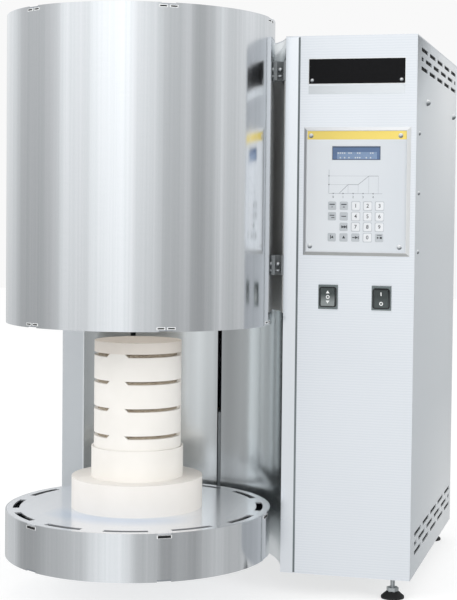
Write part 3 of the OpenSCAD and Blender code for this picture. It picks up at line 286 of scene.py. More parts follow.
def make_table_top_steel():
    """Polished steel, plain far from the plug and behind it, with a painted reflection of the plug in faint
    blue before it.
    """
    material, tree, shader = start_material("table_top_steel", "EFF3F9", 0.2, 0.72)
    streaks = noise(tree, (1500, 14, 14), 3.0)
    tint(tree, shader, streaks, "ECF0F6", "F8FAFD")
    plain = shader.inputs["Base Color"].links[0].from_socket
    flat = vector_step(tree, "MULTIPLY", object_place(tree), (1, 1, 0))[0]
    outward = spread(tree, vector_step(tree, "DISTANCE", flat, AXIS)[1], PLUG_REFLECTION_REACH)
    behind = spread(tree, split(tree)[1], PLUG_REFLECTION_BACK)
    away = add_node(tree, "Math", {"operation": "ADD", "use_clamp": True}, {0: outward, 1: behind})
    # The blue near the plug is a painted reflection of the plug.
    both = blend(tree, away.outputs["Value"], linear("D6E2F3"), plain, colours=True)
    tree.links.new(both, shader.inputs["Base Color"])
    roughen(tree, shader, streaks, 0.16, 0.24)
    return material


paint(["table_bottom_plate", "drum_top_cover", "drum_bottom_ring"], make_plate_steel())
paint(["table_top_plate"], make_table_top_steel())
print("plates done")

# %% [markdown]
# The front panel is a flat brushed sheet. Its brush lines run level and can just be seen as
# fine, even lines. A band texture gives the even spacing, and a stretched noise breaks it up.

# %% Brushed front


def make_front_steel():
    material, tree, shader = start_material("front_brushed", "EEF1F4", 0.38, 1.0, {"Anisotropic": 0.7})
    even = {"Vector": object_place(tree), "Scale": 92.0, "Distortion": 1.5, "Detail": 2.0}
    lines = add_node(tree, "TexWave", {"bands_direction": "Z"}, even).outputs["Fac"]
    hairs = noise(tree, (30, 30, 1500), 4.0)
    tint(tree, shader, blend(tree, 0.45, lines, hairs), "E7EBF0", "EFF2F6", (0.1, 0.9))
    roughen(tree, shader, noise(tree, (5, 5, 7), 2.0), 0.36, 0.42)
    emboss(tree, shader, hairs, 0.02, 0.00005)
    stretch_shine_upright(tree, shader)
    return material


front_brushed = make_front_steel()
paint(["front_panel", "housing_lid"], front_brushed)
print("front panel done")

# %% [markdown]
# The hollow behind the drum is a bright sheet rolled into a curve. It mirrors the room in
# upright bands that waver a little, because a hand-rolled sheet is never quite even. Its front
# strip keeps the lighter mill finish of the panel beside it. Round its curve the colour holds
# painted shade and painted reflection bands: the list gives how light the colour is painted at
# each angle, from the right towards the back. Low down it is scuffed and duller.

# %% Polished hollow
HOLLOW_TINT = (0.83, 0.86, 0.87)
HOLLOW_PAINTED_SHADES = [
    (30.8, 1.06), (38.0, 0.97), (43.7, 0.87), (47.8, 0.95), (55.0, 1.0), (60.8, 0.97), (65.5, 0.76),
    (68.3, 0.68), (71.5, 0.72), (76.2, 0.89), (79.2, 0.92), (82.6, 1.1), (87.4, 0.98), (91.6, 1.0),
    (143.3, 1.0),
]
STRIP_DEPTH = (FRONT_Y + 2 * MM, FRONT_Y + 6 * MM)
SCUFF_HEIGHTS = (0.15, 0.07)


def make_hollow_steel():
    material, tree, shader = start_material("hollow_bright", "D5D8D9", 0.15, 1.0, {"Anisotropic": 0.4})
    y, z = split(tree)[1:]
    turn = spread(tree, around_axis(tree)[0], FULL_TURN)
    # The colour round the curve is painted shade and painted reflection bands.
    painted_tones = ramp(tree, turn, turn_stops(HOLLOW_PAINTED_SHADES, HOLLOW_TINT))
    both = blend(tree, spread(tree, y, STRIP_DEPTH), linear("E8EBEF"), painted_tones, colours=True)
    tree.links.new(both, shader.inputs["Base Color"])
    tree.links.new(spread(tree, z, SCUFF_HEIGHTS, (0.16, 0.34)), shader.inputs["Roughness"])
    emboss(tree, shader, noise(tree, (7, 7, 3), 2.0), 0.25, 0.002)
    stretch_shine_upright(tree, shader)
    return material


paint(["recess_sheet"], make_hollow_steel())
print("hollow done")

# %% [markdown]
# The sides and the back are plain grey sheet with a satin coat. A coat of paint is never quite
# smooth: a fine relief breaks up its shine, and broad clouds keep it from looking printed. The
# right side's colour also holds painted light and painted shade.

# %% Satin housing
SIDE_PAINTED_SHADES = [(0.0, "6F757A"), (0.5, "C4C9CD"), (1.0, "E2E5E7")]
SIDE_MIDDLE = 0.36
PAINTED_LIGHT_FROM_MIDDLE = (0.12, 0.3)
PAINTED_LIGHT_DEPTH = (FRONT_Y, FRONT_Y + 0.3)
PAINTED_SHADE_HEIGHTS = (0.64, 0.74)
PAINTED_SHADE_DEPTH = (FRONT_Y + 0.25, FRONT_Y)


def make_satin_grey(name, dark, light, roughness):
    material, tree, shader = start_material(name, light, roughness, 0.35)
    peel = noise(tree, 900, 2.0)
    tint(tree, shader, noise(tree, (4, 4, 3), 3.0), dark, light)
    roughen(tree, shader, peel, roughness - 0.05, roughness + 0.05)
    emboss(tree, shader, peel, 0.06, 0.0001)
    return material


def make_side_sheet():
    """Painted light to the rear, most of all high up and low down, and painted shade at the front top corner.
    """
    material, tree, shader = start_material("right_side_painted_shade", "CFD3D7", 0.42, 0.35)
    y, z = split(tree)[1:]
    from_middle = calculate(tree, "ABSOLUTE", calculate(tree, "SUBTRACT", z, SIDE_MIDDLE))
    ends = spread(tree, from_middle, PAINTED_LIGHT_FROM_MIDDLE, (0.25, 1.0))
    side_painted_light = calculate(tree, "MULTIPLY", spread(tree, y, PAINTED_LIGHT_DEPTH), ends)
    side_painted_shade = calculate(tree, "MULTIPLY", spread(tree, z, PAINTED_SHADE_HEIGHTS), spread(tree, y, PAINTED_SHADE_DEPTH))
    level = spread(tree, calculate(tree, "SUBTRACT", side_painted_light, side_painted_shade), (-1.0, 1.0))
    painted_tones = ramp(tree, level, [(at, linear(colour)) for at, colour in SIDE_PAINTED_SHADES])
    tree.links.new(painted_tones, shader.inputs["Base Color"])
    peel = noise(tree, 900, 2.0)
    roughen(tree, shader, peel, 0.38, 0.48)
    emboss(tree, shader, peel, 0.06, 0.0001)
    return material


housing_satin = make_satin_grey("housing_satin", "C6CBCF", "CFD3D7", 0.42)
machine_grey = make_satin_grey("machine_grey", "8E9498", "9CA2A6", 0.4)
paint(["left_side_panel", "back_panel"], housing_satin)
paint(["right_side_panel"], make_side_sheet())
paint(["lift_end_blocks", "lift_arms", "carriage", "spindle_coupling", "transformer"], machine_grey)
print("housing done")

# %% [markdown]
# Zinc plating is duller than stainless and faintly mottled. It covers the floor sheet, the
# lift's mast, the mounting plate, the studs of the feet and the fan's guard. The brackets behind
# the drum have a grey coat. Turned steel and bronze are for the lift, and the metals near the
# chamber are darkened by heat.

# %% Small metals
SMALL_METALS = [
    ("zinc_plate", "A9AEB0", "C4C8C9", 0.36, 420,
     ["base_plate", "lift_mast", "mounting_plate", "foot_studs", "fan_guard"]),
    ("turned_steel", "B9BDC2", "D0D4D8", 0.22, (60, 60, 2500),
     ["guide_rods", "spindle_bearings", "lift_spindle"]),
    ("bearing_bronze", "A57C3E", "BE9550", 0.34, (50, 50, 1600), ["guide_bushes", "spindle_nut"]),
    ("heat_tinted_steel", "8B8783", "A29E99", 0.4, 420, ["drum_inner_shell"]),
    ("element_dark", "4A4644", "615C58", 0.55, 420, ["heating_elements"]),
]


def make_small_metal(name, dark, light, roughness, grain):
    material, tree, shader = start_material(name, light, roughness, 1.0)
    mottle = noise(tree, grain, 3.0)
    tint(tree, shader, mottle, dark, light)
    roughen(tree, shader, mottle, roughness - 0.06, roughness + 0.08)
    return material


for *look, nodes in SMALL_METALS:
    paint(nodes, make_small_metal(*look))
paint(["drum_brackets"], make_satin_grey("bracket_coat", "7F8385", "8B8F91", 0.5))
print("small metals done")

# %% [markdown]
# Firing dishes are pressed from fine white ceramic. The surface is matt and chalky, with tiny
# specks and a very soft unevenness. The insulation board is the same white but woolly.

# %% Ceramics
CERAMICS = [
    ("dish_ceramic", "EDEAE4", "F3F0EB", 700, 0.12,
     ["saggar_1", "saggar_2", "saggar_3", "saggar_4", "saggar_pedestal",
      "exhaust_tube", "element_holders", "thermocouple"]),
    ("lid_ceramic", "E4DDD4", "EBE5DD", 600, 0.16, ["saggar_lid"]),
    ("fibre_board", "EFEBE5", "F5F1EC", 260, 0.35,
     ["insulation_plug", "chamber_wall_insulation", "chamber_roof_insulation"]),
]


def make_ceramic(name, dark, light, speck_size, relief):
    material, tree, shader = start_material(name, light, 0.72, 0.0, {"Specular IOR Level": 0.3})
    specks = noise(tree, speck_size, 5.0)
    tint(tree, shader, noise(tree, 16, 3.0), dark, light, (0.25, 0.75))
    roughen(tree, shader, specks, 0.66, 0.82)
    emboss(tree, shader, specks, relief, 0.0002)
    return material


for *look, nodes in CERAMICS:
    paint(nodes, make_ceramic(*look))
print("ceramics done")

# %% [markdown]
# Plastics and rubber are told apart by their shine. Moulded switches have a fine spark-eroded
# grain, rubber feet are dull, and the controller's foil has a silky print, with painted light on
# its left that gives way to painted shade towards its right.
# The display is a blue liquid crystal window: a faintly uneven sheet under a clear coat.

# %% Plastics, rubber and display
FOIL_PAINTED_SHADE = (panel_low.x + 25 * MM, panel_low.x + 135 * MM)


def make_plastic(name, dark, light, roughness, grain=1400, relief=0.1):
    material, tree, shader = start_material(name, light, roughness)
    texture = noise(tree, grain, 2.0)
    tint(tree, shader, texture, dark, light)
    roughen(tree, shader, texture, roughness - 0.04, roughness + 0.06)
    emboss(tree, shader, texture, relief, 0.00008)
    return material


def make_foil_print():
    material, tree, shader = start_material("foil_painted_light_and_shade", "D5D9DE", 0.42)
    # Painted light on the left, painted shade towards the right.
    tint(tree, shader, spread(tree, split(tree)[0], FOIL_PAINTED_SHADE), "E1E5E9", "CCD1D6", (0.0, 1.0))
    roughen(tree, shader, noise(tree, 900, 2.0), 0.38, 0.46)
    return material


def make_display():
    material, tree, shader = start_material("display_blue", "4D678D", 0.18, 0.0, {"Coat Weight": 0.5})
    tint(tree, shader, noise(tree, (30, 30, 120), 2.0), "486286", "526C94")
    return material


black_plastic = make_plastic("black_plastic", "17181A", "202224", 0.45)
paint(["table_switch_housing", "main_switch_housing"],
      make_plastic("rim_plastic", "5F696A", "6C7677", 0.42))
paint(["lift_motor", "controller_case", "contactor", "power_controller"], black_plastic)
paint(["fan_frame", "fan_rotor", "mains_inlet", "nameplate"], black_plastic)
paint(["foot_pads"], make_plastic("foot_rubber", "141415", "1E1E1F", 0.7, 500, 0.3))
paint(["controller_foil", "keypad_keys"], make_foil_print())
paint(["display_window"], make_display())
print("plastics and display done")

# %% [markdown]
# From here on the fine pieces are made. Each one is a small mesh that is built where it
# belongs, rides on the body that carries it, and takes the finish of one material slot.

# %% Piece helpers


def mesh_object(name, bm, material):
    """Turns a bmesh into an object with one material."""
    mesh = bpy.data.meshes.new(name)
    bm.to_mesh(mesh)
    bm.free()
    mesh.materials.append(material)
    return add_object(name, mesh)


def make_piece(name, bm, material, body="root", stands_for=()):
    """Turns a bmesh into a finished piece that rides on a body."""
    bmesh.ops.recalc_face_normals(bm, faces=bm.faces)
    piece = mesh_object(name, bm, material)
    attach(piece, body)
    if stands_for:
        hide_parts(*stands_for)
    return piece


def add_block(bm, low, high, edge_radius=0.0):
    """A box between two corners, with its edges rounded when a radius is given."""
    low, high = Vector(low), Vector(high)
    verts = bmesh.ops.create_cube(bm, size=1.0)["verts"]
    bmesh.ops.scale(bm, vec=high - low, verts=verts)
    bmesh.ops.translate(bm, vec=(low + high) / 2, verts=verts)
    if edge_radius:
        edges = list({edge for vert in verts for edge in vert.link_edges})
        bmesh.ops.bevel(
            bm, geom=edges, offset=edge_radius, offset_type="OFFSET", segments=2, profile=0.5,
            affect="EDGES", clamp_overlap=True, material=-1,
        )


def loop_at(bm, outline, y):
    """The corners of an outline of x and z places, all at one depth."""
    return [bm.verts.new((x, y, z)) for x, z in outline]


def join_loops(bm, loops, round_again=False):
    """Joins each loop of corners with the next by faces, and the last with the first if asked."""
    for one, two in zip(loops, loops[1:] + loops[:1] * round_again):
        for i in range(len(one)):
            j = (i + 1) % len(one)
            bm.faces.new((one[i], one[j], two[j], two[i]))


def cap_ends(bm, loops):
    bm.faces.new(loops[0][::-1])
    bm.faces.new(loops[-1])


def add_prism(bm, outline, y_front, y_back):
    """An outline of x and z places, as a plate from its front to its back."""
    loops = [loop_at(bm, outline, y) for y in (y_back, y_front)]
    join_loops(bm, loops)
    cap_ends(bm, loops)


def add_arc(bm, radii, angles, heights, steps=8):
    """A curved box round the drum's axis; angles are in degrees from +X."""
    (near, far), (bottom, top) = radii, heights
    corners = ((near, bottom), (far, bottom), (far, top), (near, top))
    loops = []
    for i in range(steps + 1):
        a = math.radians(angles[0] + (angles[1] - angles[0]) * i / steps)
        loops.append([
            bm.verts.new((AXIS.x + r * math.cos(a), AXIS.y + r * math.sin(a), z)) for r, z in corners
        ])
    join_loops(bm, loops)
    cap_ends(bm, loops)


def rect(x0, z0, x1, z1):
    return [(x0, z0), (x1, z0), (x1, z1), (x0, z1)]


def circle(x, z, radius, steps):
    turns = [2 * math.pi * i / steps for i in range(steps)]
    return [(x + radius * math.cos(a), z + radius * math.sin(a)) for a in turns]


def round_rect(x0, z0, x1, z1, radius, steps=4):
    """The outline of a rectangle with round corners."""
    outline = []
    for cx, cz, start in ((x1 - radius, z1 - radius, 0), (x0 + radius, z1 - radius, 90),
                          (x0 + radius, z0 + radius, 180), (x1 - radius, z0 + radius, 270)):
        for i in range(steps + 1):
            a = math.radians(start + 90 * i / steps)
            outline.append((cx + radius * math.cos(a), cz + radius * math.sin(a)))
    return outline


def add_stroke(bm, start, end, width, y_front, y_back):
    """A straight printed line between two x and z places."""
    (x0, z0), (x1, z1) = start, end
    length = math.hypot(x1 - x0, z1 - z0)
    nx, nz = -(z1 - z0) / length * width / 2, (x1 - x0) / length * width / 2
    outline = [(x0 - nx, z0 - nz), (x1 - nx, z1 - nz), (x1 + nx, z1 + nz), (x0 + nx, z0 + nz)]
    add_prism(bm, outline, y_front, y_back)


print("helpers ready")

# %% [markdown]
# The controller sits in a moulded frame. Its four sides slope from the panel up to a narrow
# flat, and meet in mitred corners. Five loops of corners, joined one to the next, give exactly
# that. Light and shade from above are painted into the colour: a face that looks up has painted
# light and one that looks down painted shade, on the frame and on the domed screws alike.

# %% Controller frame
bezel_low, bezel_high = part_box("controller_bezel")
foil_low, foil_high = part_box("controller_foil")
FOIL_Y = foil_low.y
BEZEL_PAINTED_SHADES = [
    (0.15, "A5A6A4"), (0.325, "C2C5C8"), (0.5, "D6D9DC"), (0.675, "C9CBCB"), (0.85, "F1F3F5"),
]
SCREW_PAINTED_SHADES = [(0.0, "4F5457"), (0.3, "7C8184"), (0.5, "C9CDD0"), (0.8, "F7F8F9")]


def facing_shade(name, stops, roughness, metallic, sideways):
    """Painted light and shade: a colour that changes with the way a face looks: low looks down, high looks
    up.
    """
    material, tree, shader = start_material(name, stops[-1][1], roughness, metallic)
    normal = add_node(tree, "TexCoord").outputs["Normal"]
    facing = vector_step(tree, "DOT_PRODUCT", normal, (sideways, 0, 0.5))[1]
    painted_tones = [(at, linear(colour)) for at, colour in stops]
    tree.links.new(ramp(tree, calculate(tree, "ADD", facing, 0.5), painted_tones), shader.inputs["Base Color"])
    roughen(tree, shader, noise(tree, 800, 2.0), roughness - 0.04, roughness + 0.05)
    return material


# Both colours hold painted light and painted shade, with a painted highlight on the screws.
bezel_painted_light_and_shade = facing_shade("bezel_painted_light_and_shade", BEZEL_PAINTED_SHADES, 0.4, 0.1, 0.25)
screw_painted_light_and_shade = facing_shade("screw_painted_light_and_shade", SCREW_PAINTED_SHADES, 0.3, 0.6, -0.15)
paint(["controller_bezel"], bezel_painted_light_and_shade)
paint(["panel_screws"], screw_painted_light_and_shade)


def make_controller_frame():
    bm = bmesh.new()
    steps = [
        (0.0, bezel_high.y),
        (0.0, bezel_high.y - 0.6 * MM),
        (4.2 * MM, bezel_low.y),
        (4.8 * MM, bezel_low.y),
        (4.8 * MM, FOIL_Y + 0.4 * MM),
    ]
    loops = []
    for inset, y in steps:
        outline = rect(bezel_low.x + inset, bezel_low.z + inset, bezel_high.x - inset, bezel_high.z - inset)
        loops.append(loop_at(bm, outline, y))
    join_loops(bm, loops, round_again=True)
    return make_piece(
        "controller_frame", bm, bezel_painted_light_and_shade, stands_for=("controller_bezel",),
    )


frame_piece = make_controller_frame()
print("controller frame:", [round(v / MM, 1) for v in frame_piece.dimensions])

# %% [markdown]
# Everything printed on the foil is given in millimetres from the foil's lower left corner and
# stands a hair's breadth proud, as screen print does. The stripe runs along the top, and the
# graph shows two ramps and two holding times. Its axis carries plain numbers.

# %% Prints on the foil
PRINT_T = 0.06 * MM
STRIPE_LOW = 146.2
GRAPH_X, GRAPH_Z = 29.5, 76.0
GRAPH_W, GRAPH_H = 70.6, 31.0
RAMP = [(43.2, 76.2), (55.1, 87.6), (68.4, 87.6), (82.3, 98.8), (94.9, 98.8)]
TICKS = [35.4, 48.5, 61.8, 74.9, 88.2]


def on_foil(x, z):
    """A place on the foil, from millimetres to the frame's metres."""
    return foil_low.x + x * MM, foil_low.z + z * MM


def make_print_ink(name, colour, roughness=0.45):
    material, tree, shader = start_material(name, colour, roughness)
    roughen(tree, shader, noise(tree, 700, 2.0), roughness - 0.05, roughness + 0.05)
    return material


stripe_ink = make_print_ink("stripe_yellow", "EAD26C")
line_ink = make_print_ink("graph_grey", "9CA1A8")
label_ink = make_print_ink("label_grey", "7E8388")
dark_ink = make_print_ink("digit_dark", "33373B")
white_ink = make_print_ink("mark_white", "EEF0F0")


def make_stripe():
    bm = bmesh.new()
    x, z = on_foil(0.2, STRIPE_LOW)
    add_block(bm, (x, FOIL_Y - PRINT_T, z),
              (foil_high.x - 0.2 * MM, FOIL_Y + PRINT_T, foil_high.z - 0.2 * MM))
    make_piece("foil_stripe", bm, stripe_ink)


def make_graph():
    bm = bmesh.new()

    def line(start, end, width=0.45):
        add_stroke(bm, on_foil(*start), on_foil(*end), width * MM, FOIL_Y - PRINT_T, FOIL_Y + PRINT_T)

    line((GRAPH_X, GRAPH_Z), (GRAPH_X, GRAPH_Z + GRAPH_H))
    line((GRAPH_X, GRAPH_Z), (GRAPH_X + GRAPH_W, GRAPH_Z))
    for start, end in zip(RAMP, RAMP[1:]):
        line(start, end, 0.7)
        line(end, (end[0], GRAPH_Z), 0.25)
    for place in (RAMP[1], RAMP[3]):
        line((GRAPH_X, place[1]), place, 0.25)
    make_piece("foil_graph", bm, line_ink)


def make_ticks():
    bm = bmesh.new()
    for x, z in [(x, GRAPH_Z) for x in TICKS] + [(GRAPH_X, RAMP[1][1]), (GRAPH_X, RAMP[3][1])]:
        dot = circle(*on_foil(x, z), 0.9 * MM, 12)
        add_prism(bm, dot, FOIL_Y - 1.5 * PRINT_T, FOIL_Y + PRINT_T)
    make_piece("foil_ticks", bm, label_ink)


make_stripe()
make_graph()
make_ticks()
print("stripe, graph and", len(TICKS), "ticks printed")

# %% [markdown]
# Figures are made with Blender's own plain letterform: a text curve is turned into a mesh, laid
# upright on the front and joined with its neighbours, so that one piece holds all figures.

# %% Figures


def add_figure(bm, text, x, z, height, y_front, thickness=PRINT_T, weight=0.0):
    """Adds one figure, centred on a place, facing the front."""
    curve = bpy.data.curves.new("figure", "FONT")
    curve.body = text
    curve.offset = weight
    curve.size = height / 0.72
    curve.align_x = "CENTER"
    curve.align_y = "CENTER"
    curve.extrude = thickness
    curve.resolution_u = 4
    holder = add_object("figure", curve)
    shape = holder.evaluated_get(bpy.context.evaluated_depsgraph_get())
    mesh = bpy.data.meshes.new_from_object(shape)
    mesh.transform(Matrix.Translation((x, y_front, z)) @ Matrix.Rotation(math.pi / 2, 4, "X"))
    bm.from_mesh(mesh)
    bpy.data.objects.remove(holder)
    bpy.data.meshes.remove(mesh)
    bpy.data.curves.remove(curve)


def make_axis_figures():
    bm = bmesh.new()
    for i, x in enumerate(TICKS):
        cx, cz = on_foil(x, GRAPH_Z - 4.6)
        add_figure(bm, str(i), cx, cz, 3.0 * MM, FOIL_Y, weight=0.06 * MM)
    make_piece("axis_figures", bm, label_ink)


make_axis_figures()
print("axis figures 0 to", len(TICKS) - 1)

# %% [markdown]
# The keys are domes under the foil. Number keys are white fields with a grey outline, and the
# others are plain grey fields with small signs. Each key is a round-cornered plate with a
# softened edge; the columns and rows are read from the CAD keys' box.

# %% Keys
key_low, key_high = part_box("keypad_keys")
KEY = 11.3 * MM
KEY_COLS, KEY_ROWS = 5, 4
KEY_FIGURES = ["  123", "  456", " _789", "  _0_"]
NO_KEY = (2, 0)
key_white = make_plastic("key_white", "DEE1E4", "E4E6E9", 0.38, 900, 0.04)
key_grey = make_plastic("key_grey", "B4B9BE", "BEC3C7", 0.4, 900, 0.04)
key_line = make_print_ink("key_outline", "BABFC4")


def key_centre(col, row):
    x = key_low.x + KEY / 2 + (key_high.x - key_low.x - KEY) * col / (KEY_COLS - 1)
    z = key_high.z - KEY / 2 - (key_high.z - key_low.z - KEY) * row / (KEY_ROWS - 1)
    return x, z


def add_key(bm, centre, side, y_front, y_back, soft):
    """A round-cornered plate whose front edge is softened."""

    def outline(half, radius):
        x, z = centre
        return round_rect(x - half, z - half, x + half, z + half, radius)

    loops = [
        loop_at(bm, outline(side / 2, 1.6 * MM), y_back),
        loop_at(bm, outline(side / 2, 1.6 * MM), y_front + soft * 0.6),
        loop_at(bm, outline(side / 2 - soft, 1.4 * MM), y_front),
    ]
    join_loops(bm, loops)
    cap_ends(bm, loops)


def make_keys():
    whites, greys, outlines, figures = [bmesh.new() for _ in range(4)]
    top, back = key_low.y, FOIL_Y + 0.1 * MM
    for row in range(KEY_ROWS):
        for col in range(KEY_COLS):
            sign = KEY_FIGURES[row][col]
            if (row, col) == NO_KEY:
                continue
            x, z = key_centre(col, row)
            if sign.isdigit():
                add_key(outlines, (x, z), KEY + 0.9 * MM, top + 0.2 * MM, back, 0.2 * MM)
                add_key(whites, (x, z), KEY - 0.9 * MM, top, back, 0.25 * MM)
                add_figure(figures, sign, x, z, 5.0 * MM, top - 0.05 * MM, weight=0.06 * MM)
            else:
                add_key(greys, (x, z), KEY - 0.4 * MM, top + 0.1 * MM, back, 0.25 * MM)
    make_piece("keys_white", whites, key_white, stands_for=("keypad_keys",))
    make_piece("keys_grey", greys, key_grey)
    make_piece("key_outlines", outlines, key_line)
    make_piece("key_figures", figures, dark_ink)


make_keys()
print("key side in mm:", round(KEY / MM, 1), "field in mm:", round((key_high.x - key_low.x) / MM, 1))

# %% [markdown]
# The signs on the grey keys are only shapes: arrows for moving on and back, a triangle and a
# square for start and stop, and short bars for the fields that a user may assign.

# %% Signs on the grey keys

KEY_ARROWS = [
    (1, 2, -1.6, 2.5, 0), (1, 2, 1.6, 2.5, 0), (0, 3, 0.9, 2.3, 315), (1, 3, 0.2, 2.5, 90),
    (2, 3, 1.0, 2.5, 0), (4, 3, -1.9, 1.9, 0),
]
KEY_BARS = [
    (0, 0, 0, 1.8, 7.0, 1.3), (0, 0, 0, -1.6, 1.4, 1.1), (1, 0, 0, 1.8, 7.0, 1.3),
    (1, 0, 0, -1.6, 2.4, 1.1), (0, 1, 0, 1.2, 6.4, 1.1), (1, 1, 0, 0, 6.4, 1.1),
    (0, 1, 1.2, -1.8, 4.2, 1.0), (1, 2, 3.9, 0, 0.9, 4.2), (0, 3, -1.6, 0.4, 0.9, 5.2),
    (2, 3, -2.6, 0, 3.4, 1.1), (2, 3, 3.9, 0, 0.9, 4.2), (4, 3, 2.2, 0, 2.8, 2.8),
    (4, 3, 0, 3.4, 6.2, 0.8),
]


def make_key_signs():
    bm = bmesh.new()
    y0 = key_low.y + 0.04 * MM
    y1 = y0 + 0.1 * MM
    for col, row, right, size, turn in KEY_ARROWS:
        x, z = key_centre(col, row)
        corners = [math.radians(a) for a in (turn, turn + 125, turn - 125)]
        outline = [(x + (right + size * math.cos(a)) * MM, z + size * math.sin(a) * MM) for a in corners]
        add_prism(bm, outline, y0, y1)
    for col, row, right, up, width, height in KEY_BARS:
        x, z = key_centre(col, row)
        x, z = x + (right - width / 2) * MM, z + (up - height / 2) * MM
        add_prism(bm, rect(x, z, x + width * MM, z + height * MM), y0, y1)
    make_piece("key_signs", bm, dark_ink)


make_key_signs()
print("signs:", len(KEY_ARROWS), "arrows and", len(KEY_BARS), "bars")

# %% [markdown]
# The display is a window in the foil. A dark edge frames it, and two rows of small bright
# blocks stand for its characters without spelling anything.

# %% Display window
lcd_low, lcd_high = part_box("display_window")
LCD_W, LCD_H = lcd_high.x - lcd_low.x, lcd_high.z - lcd_low.z
LCD_Y = lcd_low.y - 0.05 * MM
LCD_EDGES = [(0, 0, 1, 0.045), (0, 0.9, 1, 1), (0, 0, 0.012, 1), (0.985, 0, 1, 1)]
LCD_BAND = (0.1, 0.06, 0.93, 0.58)
LCD_ROWS = [(0.5, "111101100110000110"), (0.16, "010101001110010100")]
lcd_edge = make_plastic("lcd_edge", "39485F", "42526C", 0.3, 800, 0.02)
lcd_glow = make_print_ink("lcd_light_band", "798FAE", 0.3)
lcd_white = make_print_ink("lcd_characters", "C6CCD2", 0.3)


def on_display(right, up):
    """A place on the display, from shares of its width and height."""
    return lcd_low.x + LCD_W * right, lcd_low.z + LCD_H * up


def add_field(bm, low, high, y_front):
    add_block(bm, (low[0], y_front, low[1]), (high[0], lcd_low.y + 0.2 * MM, high[1]))


def make_display_pieces():
    edge, band, marks = bmesh.new(), bmesh.new(), bmesh.new()
    for x0, z0, x1, z1 in LCD_EDGES:
        add_field(edge, on_display(x0, z0), on_display(x1, z1), LCD_Y)
    add_field(band, on_display(*LCD_BAND[:2]), on_display(*LCD_BAND[2:]), LCD_Y + 0.03 * MM)
    for up, cells in LCD_ROWS:
        for i, cell in enumerate(cells):
            if cell == "1":
                x, z = on_display(0.11 + 0.045 * i, up)
                add_field(marks, (x, z - 0.9 * MM), (x + 1.7 * MM, z + 0.9 * MM), LCD_Y - 0.02 * MM)
    make_piece("lcd_edge", edge, lcd_edge)
    make_piece("lcd_band", band, lcd_glow)
    make_piece("lcd_characters", marks, lcd_white)


make_display_pieces()
print("display in mm:", round(LCD_W / MM, 1), "x", round(LCD_H / MM, 1))

# %% [markdown]
# The blank nameplate is a black lacquered sheet with a thin white border, and a pale strip is
# glued below it. Two screws hold it.

# %% Nameplate
name_low, name_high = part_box("nameplate")
plate_lacquer = make_plastic("plate_lacquer", "0B0B0D", "121214", 0.55, 300, 0.05)
plate_lacquer.node_tree.nodes["Principled BSDF"].inputs["Specular IOR Level"].default_value = 0.15
strip_print = make_print_ink("strip_pale", "D5DADE", 0.45)
NAME_RIM = 0.9 * MM


def make_nameplate():
    border, face, strip = bmesh.new(), bmesh.new(), bmesh.new()
    add_block(border, (name_low.x - NAME_RIM, name_low.y, name_low.z - NAME_RIM),
              (name_high.x + NAME_RIM, name_high.y, name_high.z + NAME_RIM), 0.3 * MM)
    outline = round_rect(name_low.x + 0.2 * MM, name_low.z, name_high.x + 0.4 * MM,
                         name_high.z + 0.2 * MM, 0.6 * MM)
    add_prism(face, outline, name_low.y - 0.12 * MM, name_low.y + 0.3 * MM)
    outline = round_rect(name_low.x - 0.4 * MM, name_low.z - 13.4 * MM, name_high.x + 0.4 * MM,
                         name_low.z - 2.6 * MM, 0.4 * MM)
    add_prism(strip, outline, FRONT_Y - 0.35 * MM, FRONT_Y + 0.2 * MM)
    make_piece("nameplate_border", border, white_ink, stands_for=("nameplate",))
    make_piece("nameplate_face", face, plate_lacquer)
    make_piece("pale_strip", strip, strip_print)


make_nameplate()
print("nameplate in mm:", [round(v / MM, 1) for v in name_high - name_low])

# %% [markdown]
# Marks on the rockers are moulded in white. A rocker's face is hollow, so a mark is drawn flat
# in front of it first, and then each of its corners is cast straight back onto the rocker.
# That keeps the mark on the plastic, wherever the rocker's face curves. The marks ride on the
# rockers' own bodies and tip with them.

# %% Rocker marks
TRIANGLE = [(-2.5, -1.6), (2.5, -1.6), (0, 2.2)]
MARK_OUTLINES = {
    "up": TRIANGLE,
    "down": [(right, -up) for right, up in TRIANGLE],
    "bar": rect(-0.6, -2.4, 0.6, 2.4),
}
ROCKERS = [
    ("table_switch_rocker", "table_rocker", ("up", "ring", "down")),
    ("main_switch_rocker", "main_rocker", ("bar", "", "ring")),
]
MARK_LIFT = 0.06 * MM
MARK_DEPTH = 0.05 * MM


def lay_on(bm, node_name, lift):
    """Casts every corner straight back onto a CAD part."""
    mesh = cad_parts[node_name].data
    corners = [v.co for v in mesh.vertices]
    tree = BVHTree.FromPolygons(corners, [p.vertices[:] for p in mesh.polygons])
    for vert in bm.verts:
        start = Vector((vert.co.x, FRONT_Y - 0.05, vert.co.z))
        hit = tree.ray_cast(start, Vector((0, 1, 0)))[0]
        if hit:
            vert.co.y = hit.y - lift


def make_rocker_marks():
    for node, body, signs in ROCKERS:
        low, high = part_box(node)
        x = (low.x + high.x) / 2
        middle, reach = (low.z + high.z) / 2, (high.z - low.z) * 0.27
        bm = bmesh.new()
        for sign, z in zip(signs, (middle + reach, middle, middle - reach)):
            if sign == "ring":
                join_loops(bm, [loop_at(bm, circle(x, z, r * MM, 24), FRONT_Y) for r in (2.5, 1.4)])
            elif sign:
                outline = [(x + right * MM, z + up * MM) for right, up in MARK_OUTLINES[sign]]
                bm.faces.new(loop_at(bm, outline, FRONT_Y))
        lay_on(bm, node, MARK_LIFT)
        made = bmesh.ops.extrude_face_region(bm, geom=bm.faces[:])["geom"]
        moved = [item for item in made if isinstance(item, bmesh.types.BMVert)]
        bmesh.ops.translate(bm, vec=(0, MARK_DEPTH, 0), verts=moved)
        make_piece(body + "_marks", bm, white_ink, body=body)


make_rocker_marks()
print("marks laid on", len(ROCKERS), "rockers")

